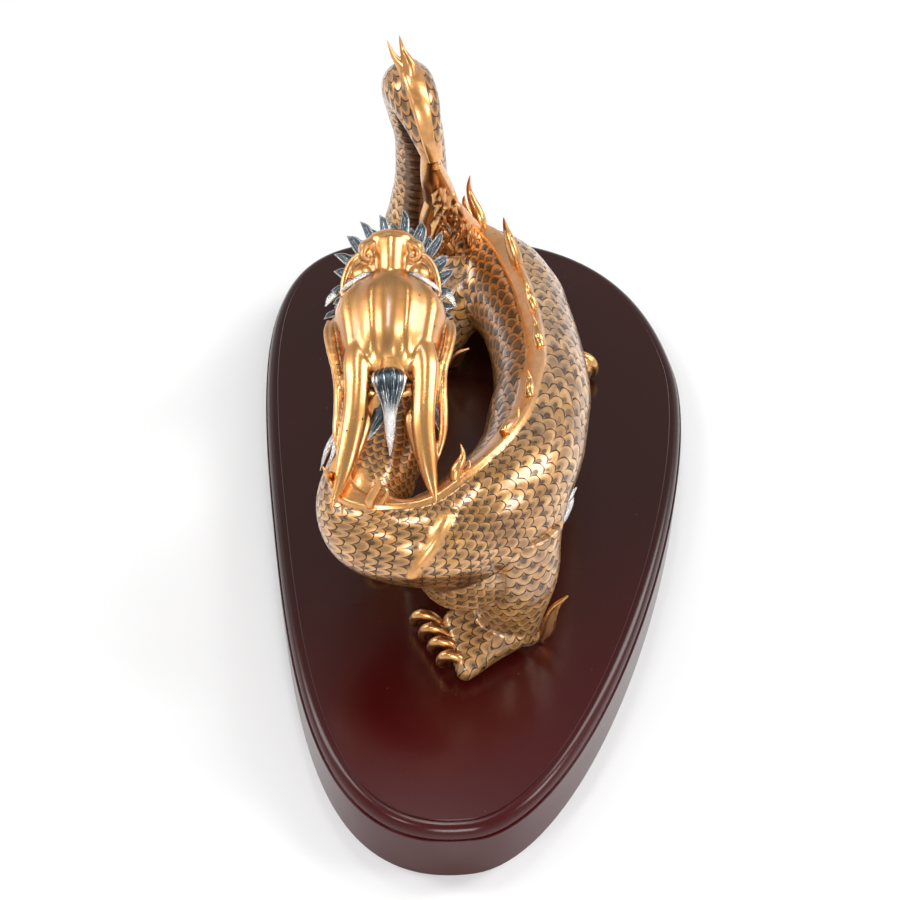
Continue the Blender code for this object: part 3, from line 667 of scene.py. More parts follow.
def make_claws(leg, material):
    """Four fat hooked claws on the front of the foot, and the flame-shaped spur at the heel."""
    start, end = np.array(leg.toes_from), np.array(leg.toes_to)
    forward = unit(np.array(leg.forward, float))
    sizes = np.linspace(1.35, 0.85, CLAWS) if "hind" in leg.name else np.ones(CLAWS)
    parts = []
    for n in range(CLAWS):
        knuckle = start + (end - start) * n / (CLAWS - 1)
        path = [knuckle + forward * out * sizes[n] + (0, 0, up * sizes[n]) for out, up, _ in CLAW]
        widths = np.array([wide for _, _, wide in CLAW]) * sizes[n]
        parts.append(lock("claw", above_plinth(path), widths, sides=20, step=0.0006))
    facing = np.cross((0, 0, 1), forward)
    spur = above_plinth(leg.spur)
    parts.append(lock("spur", spur, SPUR_WIDTHS, flat=0.42, up=facing, sides=24, step=0.0006))
    for side in (-1, 1):
        edge = [at + (side * wide, 0, 0) + facing * 0.0008 for at, wide in zip(spur, SPUR_EDGES)]
        parts.append(lock("spur", edge, (0.0010, 0.0011, 0.0010, 0.0009, 0.0004), step=0.0005))
    made = clay(f"dragon_{leg.name}_claws", parts, CLAW_GRAIN, 2)
    put_values(made, "hollow", grooves(made))
    return finish_piece(made, material, "dragon")


# ---------------------------------------------------------------- spikes and flames


# The lobes of a spike: how far up, how far back and how wide at each point, as shares of its height and girth
TALL_LOBE = (
    (-0.20, -0.10, 1.5), (0.10, -0.10, 1.55), (0.34, 0.00, 1.45), (0.56, 0.12, 1.15), (0.78, 0.18, 0.80),
    (1.00, 0.14, 0.50), (1.24, 0.02, 0.15),
)
LOW_LOBE = ((-0.20, 0.22, 1.0), (0.08, 0.34, 1.0), (0.28, 0.46, 0.8), (0.44, 0.50, 0.55), (0.62, 0.42, 0.15))
# The two flames on the top of the tail
CROWN = (
    ((-0.029, 0.122, 0.180), (-0.031, 0.126, 0.190), (-0.036, 0.128, 0.197), (-0.0395, 0.131, 0.206)),
    ((-0.028, 0.120, 0.182), (-0.028, 0.125, 0.192), (-0.031, 0.130, 0.199), (-0.0325, 0.132, 0.2075)),
)


def make_spikes(material):
    """Flame-shaped spikes on the ridge, each a tall S-shaped lobe and a low one behind it."""
    parts = []
    grid = body_grid()
    for along, tall, lean in BACK_SPIKES:
        foot, rise, onward = ridge_place(grid, along)
        lean = math.radians(lean)
        upward = rise * math.cos(lean) + onward * math.sin(lean)
        onward = onward * math.cos(lean) - rise * math.sin(lean)
        girth = 0.0013 + 0.048 * tall
        across = np.cross(onward, upward)
        for lobe in (TALL_LOBE, LOW_LOBE):
            path = [foot + upward * up * tall + onward * back * tall for up, back, _ in lobe]
            widths = np.array([wide for _, _, wide in lobe]) * girth
            parts.append(lock("spike", path, widths, up=across, step=0.0006))
    for flame in CROWN:
        parts.append(lock("spike", above_plinth(flame), (0.0046, 0.0036, 0.0017, 0.0003), step=0.0006))
    made = clay("dragon_back_spikes", parts, SPIKE_GRAIN, 4)
    put_values(made, "hollow", grooves(made))
    return finish_piece(made, material, "dragon")


# The strands that the tail's tuft is built on
FLAME_SPINES = (
    ((-0.020, 0.106, 0.156), (-0.019, 0.112, 0.130), (-0.016, 0.124, 0.108), (-0.013, 0.132, 0.084),
     (-0.010, 0.136, 0.062)),
    ((-0.019, 0.107, 0.146), (-0.017, 0.117, 0.124), (-0.016, 0.130, 0.104), (-0.014, 0.138, 0.084),
     (-0.012, 0.140, 0.066)),
    ((-0.018, 0.108, 0.140), (-0.012, 0.119, 0.118), (-0.007, 0.129, 0.100), (-0.002, 0.134, 0.082),
     (0.003, 0.138, 0.064)),
    ((-0.014, 0.122, 0.112), (-0.016, 0.128, 0.096), (-0.018, 0.134, 0.078), (-0.015, 0.140, 0.062),
     (-0.012, 0.141, 0.058)),
    ((-0.012, 0.124, 0.104), (-0.004, 0.132, 0.090), (0.004, 0.138, 0.076), (0.010, 0.142, 0.066),
     (0.015, 0.143, 0.060)),
)
FLAMES = 44
FLAME_WIDTHS = (0.0017, 0.0023, 0.0020, 0.0013, 0.0004)


def make_tail_flames(material, grain):
    """The tuft at the tail's tip: curling locks that run down onto the far side of the coil."""
    parts = []
    for spine in FLAME_SPINES:
        parts.append(lock("flame", above_plinth(spine), (0.0045, 0.0058, 0.0056, 0.0052, 0.0030), sides=20))
    draw = np.random.default_rng(7)
    for n in range(FLAMES):
        path, _ = even_curve(FLAME_SPINES[n % len(FLAME_SPINES)], 0.002)
        root = path[int(draw.uniform(0.25, 0.98) * (len(path) - 1))]
        swing = draw.uniform(-1, 1)
        out = unit(np.array([0.55 + 0.5 * swing, -0.75, 0.25 * draw.uniform(-1, 1)]))
        long = draw.uniform(0.008, 0.014)
        curl = np.array([0.35 * draw.uniform(-1, 1), -0.1, -1.0])
        bends = ((0.0, 0.0), (0.0045, 0.20), (0.0062, 0.6), (0.0052, 0.95), (0.0075, 1.10))
        points = [root + out * away + curl * long * down for away, down in bends]
        parts.append(lock("flame", above_plinth(points), FLAME_WIDTHS, step=0.0007))
    made = clay("dragon_tail_flames", parts, grain * 0.85, 2)
    put_values(made, "hollow", grooves(made))
    return finish_piece(made, material, "dragon")


# ---------------------------------------------------------------- head


def head_lock(points, widths, **more):
    """A lock given in the head's frame in millimetres."""
    up = np.array(head_matrix())[:3, :3] @ np.array(more.pop("up", (0, 0, 1)), float)
    return lock("lock", in_head(points), np.array(widths) * MM, up=up, **more)


def both(points, widths, **more):
    """The same lock on the right and on the left of the head."""
    return [head_lock([(side * s, f, u) for s, f, u in points], widths, **more) for side in (1, -1)]


def mirror_pair(points):
    """The same path on the left and on the right of the head."""
    return [[(side * s, f, u) for s, f, u in points] for side in (-1, 1)]


# All of the head's tables are in millimetres: to the side, forward and up.
# The dome of the skull, front to back: place along the head, half width, height of its sides and of its crest
DOME = (
    (36.0, 1.6, 4.8, 6.4), (34.8, 7.0, 3.6, 9.2), (32.2, 12.8, 2.2, 11.2), (28.6, 18.2, 0.6, 12.3),
    (24.4, 23.2, -1.5, 12.9), (19.0, 27.4, -4.0, 13.3), (12.0, 28.4, -5.0, 13.4), (5.0, 27.4, -5.0, 13.1),
    (-4.0, 25.8, -5.0, 12.2), (-10.0, 24.6, -4.8, 10.9), (-15.0, 23.8, -4.3, 9.0), (-19.5, 23.0, -4.0, 6.4),
    (-23.2, 21.6, -4.0, 3.2), (-26.0, 19.0, -4.5, -0.2), (-27.8, 13.5, -5.0, -3.6),
)
LOBES = ((0.36, 0.30, 3.0), (0.82, 0.21, 2.6))  # each pair of lobes: how far out, half width, height
DOME_SIDES = 96
DOME_VALLEY_SHADE = ((0.0, 0.13, 1.0), (0.60, 0.075, 0.8))  # the painted shade in the valleys between lobes: how far out, width, how dark

# The balls under the head's skin: centre and radii. The paired ones are on both sides.
SKULL_BALLS = (
    ((0, 0, -9), (24, 27, 13)), ((0, 22, -6), (21, 19, 12.5)), ((0, 38, -4), (15.0, 20, 10.5)),
    ((0, 52, -1), (11.5, 9.5, 9.5)), ((0, 55.0, 5.6), (12.8, 6.8, 8.2)),
)
PAIRED_BALLS = (
    ((13.0, 36.0, 1.6), (8.0, 8.4, 6.8)), ((12.0, 50.5, 5.2), (5.4, 5.6, 6.2)),
    ((8.6, 42.5, 3.6), (5.6, 7.4, 5.2)), ((15, 22, -3), (8, 9, 9)),
)
MUZZLE_RIDGE = ((0, 24, 3), (0, 34, 5.2), (0, 44, 6.4), (0, 53, 6.2))
JAW_SIDE = ((16, -10, -18), (15, 8, -22), (12.5, 28, -25.5), (10.0, 46, -26), (6, 56, -24))
JAW_FLOOR = ((0, -8, -22), (0, 18, -25), (0, 50, -26))
LEFT_HORN = ((-14, -8, 3), (-15.6, -20, 3.2), (-15.4, -33, 2.6), (-15.8, -46, 1.2), (-17.4, -59, -1.2),
             (-20.8, -77, -5), (-26.5, -98, -9.5))
RIGHT_HORN = ((15, -8, 3), (17.6, -20, 3.2), (17.8, -33, 2.6), (17.3, -46, 1.2), (17.6, -59, -1.2),
              (20.0, -77, -5), (24.2, -96, -9))
HORN_WIDTHS = (7.4, 7.2, 6.4, 6.1, 5.7, 4.4, 0.7)

# The finer rolls on each side of the face: a path and its half widths
CHEEK_STRAND = ((10.5, 45.0, 8.6), (15.5, 45.5, 7.4), (20.6, 41.5, 5.0), (23.4, 34, 2.8), (24.2, 27, 1.0),
                (24.8, 18, -0.8))
FACE_ROLLS = (
    (CHEEK_STRAND, (1.2, 1.9, 1.9, 1.8, 1.6, 1.0)),
    (((7.6, 34, 6.6), (9.8, 39.6, 7.0), (14.4, 41.6, 6.0), (18.4, 39.0, 3.4), (20.0, 34.5, 1.2)),
     (0.9, 1.3, 1.3, 1.1, 0.7)),
    (((8.5, 50.5, 11.0), (13.0, 47.2, 10.6), (14.2, 43.0, 9.4), (11.2, 40.4, 9.4), (9.0, 42.0, 9.8)),
     (0.8, 1.4, 1.4, 1.2, 0.6)),
    (((6.5, 29.5, 6.6), (11.5, 29.6, 5.8), (17.0, 31.6, 3.2), (20.8, 35.5, 0.6)), (1.2, 2.0, 2.0, 1.0)),
    (((6, 59, -4), (13, 55, -7.5), (17, 44, -9.5), (19, 28, -12), (19, 12, -14)), (3.0, 3.1, 2.7, 2.7, 2.0)),
)
UPPER_LIP = ((-7, 59.5, -4), (0, 61, -3), (7, 59.5, -4))
LOWER_LIP = ((-8, 53, -25), (0, 57, -24), (8, 53, -25))
TONGUE = ((0, 10, -17), (0, 34, -20), (0, 48, -20), (0, 56, -17))
FANGS = (
    (((10.5, 54, -7), (11, 54.5, -12), (10.5, 54, -17)), (2.1, 1.5, 0.5)),
    (((10.5, 49, -22), (11.2, 50, -17), (12, 50, -13)), (1.9, 1.3, 0.5)),
)

# The strands beside the horns
SHADED_STRAND = ((14.5, -34, -3), (11.6, -43, -4), (10.4, -49, -4.5), (13.0, -60, -7), (16.6, -74, -9))
LEFT_STRAND = ((-31.4, 13, -5), (-31.6, 4, -3.5), (-29.6, -8, -2), (-26.4, -22, -1), (-24.6, -34, -0.5),
               (-24.2, -46, -1.5), (-24.4, -58, -3), (-23.3, -72, -5))
RIGHT_STRAND = ((31.0, 13, -5), (31.4, 4, -3.5), (29.8, -8, -2), (27.2, -21, -1), (26.6, -34, -0.5),
                (26.8, -46, -1.5), (26.4, -58, -3), (23.9, -72.6, -5))
STRAND_WIDTHS = (0.9, 1.9, 1.9, 1.9, 2.2, 2.4, 2.1, 0.4)
EAR = ((28.6, 15, -6), (29.2, 5, -2.2), (27.8, -8, -0.6), (25.2, -20, 0.2), (23.6, -31, 0.4),
       (22.6, -44, -1.5))
EAR_ROOT = ((28.6, 14, -8), (28.4, 4, -6), (27.0, -8, -4.6), (25.0, -20, -4), (23.2, -31, -4))
NAPE_BRIDGE = ((-12, -31, -3), (0, -34, -5.5), (12, -31, -3))


def make_dome():
    """The skull's top: a cushion with four long lobes, given in the head's frame."""
    rows, _ = even_curve(DOME, 0.8, place=2)
    angle = math.tau * np.arange(DOME_SIDES) / DOME_SIDES
    across, lift = np.cos(angle), np.sin(angle)
    across = np.sign(across) * np.abs(across) ** 0.86
    skin = []
    for place, half, side, crest in rows:
        lobe = sum(high * np.cos(np.clip((np.abs(across) - out) / wide, -1, 1) * math.pi / 2) ** 2
                   for out, wide, high in LOBES)
        lobe = lobe * smoothstep(33, 18, place) * smoothstep(-29, -17, place)
        top = side + (crest - side) * np.abs(lift) ** 0.92 + lobe * np.abs(lift) ** 0.5
        under = side - 9.0 * np.abs(lift)
        up = np.where(lift >= 0, top, under)
        skin.append(np.column_stack([across * max(half, 0.5), np.full(DOME_SIDES, place), up]))
    return mesh_object("dome", in_head(np.concatenate(skin)), tube_faces(len(rows), DOME_SIDES))


def head_core(grain):
    """The head's broad forms in one soft skin: dome, face, open jaw and horns."""
    parts = [make_dome()]
    parts += [ball(centre, radii) for centre, radii in SKULL_BALLS]
    parts.append(head_lock(MUZZLE_RIDGE, (6.4, 6.8, 7.6, 9.0), sides=28))
    for side in (-1, 1):
        parts += [ball((side * s, f, u), radii) for (s, f, u), radii in PAIRED_BALLS]
    parts += both(JAW_SIDE, (8, 7.5, 5.5, 4.6, 4.2), flat=0.8)
    parts.append(head_lock(JAW_FLOOR, (12, 12, 8), flat=0.42))
    for horn in (LEFT_HORN, RIGHT_HORN):
        parts.append(head_lock(horn, HORN_WIDTHS, flat=0.78, sides=28))
    return clay("head_core", parts, grain * 1.25, 16)


def make_head(material, grain):
    """The head in one skin: its broad forms, and the rolls, lips, fangs and strands laid on them."""
    parts = [head_core(grain)]
    for path, widths in FACE_ROLLS:
        parts += both(path, widths)
    parts.append(head_lock(UPPER_LIP, (3.0, 3.2, 3.0)))
    parts += [ball((side * 13.8, 36.6, 4.0), (3.8, 3.4, 3.4)) for side in (-1, 1)]
    parts.append(head_lock(LOWER_LIP, (4.0, 4.6, 4.0)))
    parts.append(head_lock(TONGUE, (6, 5.5, 4.5, 2), flat=0.4))
    for path, widths in FANGS:
        parts += both(path, widths)
    for path in mirror_pair(SHADED_STRAND):
        parts.append(head_lock(path, (2.6, 2.6, 2.8, 2.4, 0.8)))
    for path in (LEFT_STRAND, RIGHT_STRAND):
        parts.append(head_lock(path, STRAND_WIDTHS))
    for ear, root in zip(mirror_pair(EAR), mirror_pair(EAR_ROOT)):
        parts.append(head_lock(ear, (0.9, 1.3, 1.2, 1.3, 1.5, 0.5)))
        parts.append(head_lock(root, (2.0, 3.2, 3.2, 2.8, 1.4)))
    parts.append(head_lock(NAPE_BRIDGE, (4.2, 3.6, 4.2)))
    made = clay("dragon_head", parts, grain, 4)
    # painted shade: the valleys between the dome's lobes and every hollow of the head are painted darker
    turn = np.array(head_matrix().inverted())
    across, ahead, up = ((point_places(made) @ turn[:3, :3].T + turn[:3, 3]) / MM).T
    out = np.abs(across) / 27
    valley_shade = [deep * np.exp(-((out - middle) / wide) ** 2) for middle, wide, deep in DOME_VALLEY_SHADE]
    on_dome = smoothstep(4, 8, up) * smoothstep(33, 24, ahead) * smoothstep(-25, -12, ahead)
    put_values(made, "hollow", np.maximum(np.maximum(*valley_shade) * on_dome, grooves(made)))
    return finish_piece(made, material, "dragon")


BEARD_TIPS = (
    (-34.5, 16, -8), (-33, 28, -12), (-32.5, 39.5, -13), (-32.5, 52, -14), (-31, 64.9, -14),
    (-26.5, 76.6, -12), (-18.5, 85.6, -10), (-8, 90, -8), (5, 90, -8), (16, 86, -9), (26.4, 77, -11),
    (31.5, 66, -13), (33, 53, -14), (33.5, 41, -14), (34, 28, -13), (34.5, 16, -8),
)
BEARD_MIDDLE = 34  # how far forward the middle of the fan of leaves lies


def make_leaf(root, tip, half_width, twist):
    """A pointed leaf with a raised middle rib and fine ribs towards its edges."""
    root, tip = np.array(root, float), np.array(tip, float)
    bow = np.array([0, 0, 2.5])
    lean = np.cross(tip - root, (0, 0, 1)) * 0.06
    points = [root, root + (tip - root) * 0.4 + bow + lean,
              root + (tip - root) * 0.76 + bow * 0.6 + lean, tip]
    widths = (half_width * 0.60, half_width * 0.95, half_width * 0.85, 0.15)
    return head_lock(points, widths, flat=0.30, up=(twist, 0, 1), sides=24, ribs=12, rib_depth=0.16,
                     step=0.0008, dark=0.97)


def make_beard(material):
    """The fan of leaves round the muzzle and jaw: one to each tip, and a lower one between two."""
    parts = []
    for n, (s, f, u) in enumerate(BEARD_TIPS):
        f = f - BEARD_MIDDLE
        turn = math.atan2(s, f)
        root = (s * 0.42, BEARD_MIDDLE + f * 0.42, -17)
        short = 0.985 - 0.055 * (n % 2) + 0.02 * math.sin(5 * n)
        tip = (s * short, BEARD_MIDDLE + f * short, u + 1.5 * math.sin(9 * n))
        twist = 0.7 * math.sin(turn) + 0.6 * math.sin(7 * n)
        parts.append(make_leaf(root, tip, 3.3 + 0.5 * math.sin(3 * n), twist))
        if 0 < n < len(BEARD_TIPS) - 1:
            before = np.array(BEARD_TIPS[n - 1])
            low = (np.array(tip) + before) / 2 * (0.92, 0.96, 1) + (0, -1, -5)
            root = (s * 0.4, BEARD_MIDDLE + f * 0.40, -24)
            parts.append(make_leaf(root, low, 3.4, 0.5 * math.sin(turn)))
    made = join("dragon_beard_leaves", parts)
    return finish_piece(made, material, "dragon")


BROW = ((8.6, 32.2, 9.6), (12.6, 30.8, 9.8), (17.6, 28.4, 8.4), (22.0, 26.2, 6.2), (25.6, 24.0, 4.0))
CHEEK_LEAF = ((26.5, 25.5, 2.4), (30.0, 22.8, 1.4), (32.8, 18.0, 0.2))
THROAT_LOCKS = 3
NAPE_TUFT = ((0.2, -23.2, 3.9), (0.3, -26, 4.4), (0.4, -30, 4.6), (0.8, -37, 3.8), (1.0, -45.2, 1.2),
             (1.2, -56.4, -3.6), (1.2, -66.5, -8.5))
# The mane, in metres above the plinth: each strand and its half width
MANE = (
    (((-0.072, -0.040, 0.104), (-0.084, -0.054, 0.104), (-0.093, -0.066, 0.102), (-0.0985, -0.078, 0.098)),
     0.0022),
    (((-0.070, -0.044, 0.110), (-0.080, -0.056, 0.110), (-0.088, -0.068, 0.108), (-0.094, -0.080, 0.103)),
     0.0030),
    (((-0.066, -0.040, 0.116), (-0.070, -0.052, 0.117), (-0.076, -0.064, 0.114), (-0.083, -0.074, 0.108)),
     0.0052),
    (((-0.060, -0.040, 0.118), (-0.062, -0.052, 0.119), (-0.068, -0.064, 0.116), (-0.076, -0.074, 0.110)),
     0.0058),
    (((-0.050, -0.036, 0.114), (-0.041, -0.046, 0.108), (-0.037, -0.054, 0.101), (-0.036, -0.062, 0.095)),
     0.0044),
)
# The tuft behind the elbow, which is laid on the body's skin
ELBOW_TUFT = (
    ((0.0120, -0.0960, 0.056), (0.0155, -0.0945, 0.060), (0.0185, -0.0900, 0.063), (0.0205, -0.0830, 0.066),
     (0.0205, -0.0760, 0.069), (0.0190, -0.0710, 0.0715)),
    ((0.0130, -0.0940, 0.061), (0.0165, -0.0920, 0.066), (0.0180, -0.0880, 0.069), (0.0185, -0.0840, 0.072)),
    ((0.0120, -0.0980, 0.052), (0.0165, -0.0960, 0.054), (0.0200, -0.0920, 0.056)),
)
TUFT_PROFILE = ((0, 0.35, 0.7, 1), (0.0022, 0.0034, 0.0024, 0.0004))  # places along a strand, half widths


def face_locks(side):
    """The silver brow, cheek leaf and throat locks on one side of the head."""
    ribbed = {"ribs": 8, "rib_depth": 0.15, "step": 0.0008}
    brow, leaf = ([(side * s, f, u) for s, f, u in path] for path in (BROW, CHEEK_LEAF))
    parts = [head_lock(brow, (0.3, 1.3, 1.4, 1.3, 0.4), flat=0.7, dark=0.15, **ribbed),
             head_lock(leaf, (1.3, 2.0, 0.4), flat=0.45, dark=0.2, **ribbed)]
    for n in range(THROAT_LOCKS):
        path = [(side * (18 + n), -3 * n, -17 - 2 * n), (side * (21 + n), -10 - 5 * n, -22 - 2.5 * n),
                (side * (20 + 0.5 * n), -24 - 6 * n, -26 - 3 * n)]
        parts.append(head_lock(path, (4.5, 4.2, 0.5), flat=0.5, ribs=12, rib_depth=0.15, step=0.0008))
    return parts


def make_silver_hair(material):
    """Brows, cheek leaves, throat locks, the tuft on the nape, the mane and the tuft behind the elbow."""
    parts = face_locks(-1) + face_locks(1)
    parts.append(head_lock(NAPE_TUFT, (3.5, 7.6, 9.0, 7.2, 3.9, 2.4, 0.3), flat=0.40, sides=48, ribs=16,
                           rib_depth=0.13, step=0.0006, dark=0.50))
    for strand, girth in MANE:
        widths = np.array((0.85, 1.0, 0.75, 0.08)) * girth
        parts.append(lock("lock", above_plinth(strand), widths, flat=0.5, sides=24, ribs=12, rib_depth=0.15,
                          dark=0.2 if girth < 0.004 else 0.9))
    body = bpy.data.objects["dragon_neck_and_flank"]
    for strand in ELBOW_TUFT:
        path = []
        for place in above_plinth(strand):
            _, near, normal, _ = body.closest_point_on_mesh(Vector(place))
            path.append(np.array(near + normal * 0.0012))
        path[-1] = path[-1] + (0.0008, -0.0006, 0.0012)
        widths = np.interp(np.linspace(0, 1, len(path)), *TUFT_PROFILE)
        parts.append(lock("lock", path, widths, flat=0.6, up=(0.7, -0.5, 0.5), ribs=8, rib_depth=0.15,
                          step=0.0006, dark=0.25))
    made = join("dragon_silver_hair", parts)
    return finish_piece(made, material, "dragon")


# ---------------------------------------------------------------- plinth

NARROW_END = (-0.0446, PLINTH_LOW.y)
RIGHT_SIDE = (PLINTH_HIGH.x, 0.0786)
BROAD_END = (-0.0384, PLINTH_HIGH.y)
LEFT_SIDE = (PLINTH_LOW.x, 0.0075)
HANDLES = {  # outline corner: how far its handles reach back and forward along the outline
    NARROW_END: (0.0750, 0.0687),
    RIGHT_SIDE: (0.0822, 0.1372),
    BROAD_END: (0.0665, 0.0668),
    LEFT_SIDE: (0.1629, 0.1485),
}
OUTLINE_STEPS = 48
MOULDING_DROP = 0.0074
MOULDING_INSET = 0.0074
MOULDING_STEP = 0.0010
MOULDING_STRIPS = 12
ARRIS = 0.0004  # every sharp edge of the plinth is broken by this much


def make_plinth(material):
    """The egg-shaped board: a filled outline, extruded, with a quarter round between two small steps."""
    deselect()
    bpy.ops.curve.primitive_bezier_circle_add(radius=PLINTH_HIGH.x)
    outline = bpy.context.object
    curve = outline.data
    curve.dimensions = "2D"
    curve.fill_mode = "BOTH"
    curve.resolution_u = OUTLINE_STEPS
    directions = (Vector((1, 0)), Vector((0, 1)), Vector((-1, 0)), Vector((0, -1)))
    for point, corner, onward in zip(curve.splines[0].bezier_points, HANDLES, directions):
        back, ahead = HANDLES[corner]
        point.handle_left_type = point.handle_right_type = "FREE"
        point.co = (*corner, 0)
        point.handle_left = (*(Vector(corner) - onward * back), 0)
        point.handle_right = (*(Vector(corner) + onward * ahead), 0)
    bpy.ops.object.convert(target="MESH")
    plinth = bpy.context.object
    plinth.name = plinth.data.name = "lacquered_plinth"
    bpy.ops.object.mode_set(mode="EDIT")
    bpy.ops.mesh.select_all(action="SELECT")
    bpy.ops.mesh.remove_doubles(threshold=0.00001)
    bpy.ops.mesh.dissolve_limited(angle_limit=0.001)
    bpy.ops.mesh.normals_make_consistent(inside=False)

    def lift(rise):
        bpy.ops.mesh.extrude_region_move(TRANSFORM_OT_translate={"value": (0, 0, rise)})

    def narrow(width, rise=0.0):
        bpy.ops.mesh.inset(thickness=width, use_even_offset=True)
        if rise:
            bpy.ops.transform.translate(value=(0, 0, rise))

    bpy.ops.mesh.select_all(action="SELECT")
    bpy.ops.transform.translate(value=(0, 0, PLINTH_LOW.z))
    lift(PLINTH_TOP - PLINTH_LOW.z - MOULDING_DROP - ARRIS)
    narrow(ARRIS, ARRIS)
    narrow(MOULDING_STEP - ARRIS)
    lift(MOULDING_STEP)
    round_inset = MOULDING_INSET - 2 * MOULDING_STEP
    round_rise = MOULDING_DROP - 2 * MOULDING_STEP
    for n in range(MOULDING_STRIPS):
        start, end = (math.pi / 2 * k / MOULDING_STRIPS for k in (n, n + 1))
        inset, rise = math.cos(start) - math.cos(end), math.sin(end) - math.sin(start)
        narrow(round_inset * inset, round_rise * rise)
    narrow(MOULDING_STEP)
    lift(MOULDING_STEP - ARRIS)
    narrow(ARRIS, ARRIS)
    bpy.ops.object.mode_set(mode="OBJECT")
    bpy.ops.object.shade_smooth_by_angle(angle=math.radians(35))
    return finish_piece(plinth, material, "plinth")


# ---------------------------------------------------------------- material helpers


class Nodes:
    """Adds nodes to one tree, with plain numbers or links for their inputs."""

    def __init__(self, tree):
        self.tree = tree

    def add(self, kind, inputs=(), **settings):
        node = self.tree.nodes.new("ShaderNode" + kind)
        for name, value in settings.items():
            setattr(node, name, value)
        for name, value in dict(inputs).items():
            self.feed(node.inputs[name], value)
        return node

    def feed(self, socket, value):
        if isinstance(value, bpy.types.NodeSocket):
            self.tree.links.new(value, socket)
        else:
            socket.default_value = value

    def math(self, operation, *values, clamp=False):
        node = self.add("Math", operation=operation, use_clamp=clamp)
        for socket, value in zip(node.inputs, values):
            self.feed(socket, value)
        return node.outputs[0]

    def ramp(self, value, low, high, start=0.0, end=1.0):
        """value from low..high to start..end, eased and held outside."""
        limits = {"Value": value, "From Min": low, "From Max": high, "To Min": start, "To Max": end}
        return self.add("MapRange", limits, interpolation_type="SMOOTHSTEP").outputs[0]

    def mix(self, factor, first, second):
        node = self.add("Mix", data_type="RGBA")
        self.feed(node.inputs[0], factor)
        self.feed(node.inputs[6], first)
        self.feed(node.inputs[7], second)
        return node.outputs[2]

    def noise(self, vector, scale, detail=3.0, roughness=0.55):
        grain = {"Vector": vector, "Scale": scale, "Detail": detail, "Roughness": roughness}
        return self.add("TexNoise", grain).outputs[0]

    def attribute(self, name, output="Fac"):
        return self.add("Attribute", attribute_name=name).outputs[output]

    def axis(self, vector, number):
        """One part of a place: 0 for x, 1 for y, 2 for z."""
        return self.add("SeparateXYZ", {"Vector": vector}).outputs[number]

    def reach(self, across, along, spread):
        """How far a point lies from a scale's root, with its distance across weighted by spread."""
        wide = self.math("MULTIPLY", self.math("MULTIPLY", across, across), spread)
        return self.math("SQRT", self.math("ADD", wide, self.math("MULTIPLY", along, along)))


def rgb(red, green, blue):
    return (red, green, blue, 1.0)


PIT_BLACK = rgb(0.035, 0.022, 0.015)
HOLLOW_SHADE_BROWN = rgb(0.34, 0.17, 0.055)
SPECK_BROWN = rgb(0.16, 0.07, 0.02)
SPOT_BLACK = rgb(0.060, 0.034, 0.020)
OUTLINE_BROWN = rgb(0.055, 0.022, 0.010)
BARE_GLAZE = rgb(0.62, 0.63, 0.66)


def new_group(name, inputs, outputs):
    """An empty shader node group: its nodes, what it is given and what it puts out."""
    tree = bpy.data.node_groups.new(name, "ShaderNodeTree")
    for label, kind, value in inputs:
        socket = tree.interface.new_socket(name=label, in_out="INPUT", socket_type=kind)
        if value is not None:
            socket.default_value = value
    for label, kind in outputs:
        tree.interface.new_socket(name=label, in_out="OUTPUT", socket_type=kind)
    given = tree.nodes.new("NodeGroupInput").outputs
    result = tree.nodes.new("NodeGroupOutput").inputs
    return Nodes(tree), given, result


def use_group(nodes, name, **inputs):
    """Places a node group in a material with these inputs, and gives its outputs."""
    node = nodes.tree.nodes.new("ShaderNodeGroup")
    node.node_tree = bpy.data.node_groups[name]
    for label, value in inputs.items():
        nodes.feed(node.inputs[label.replace("_", " ")], value)
    return node.outputs


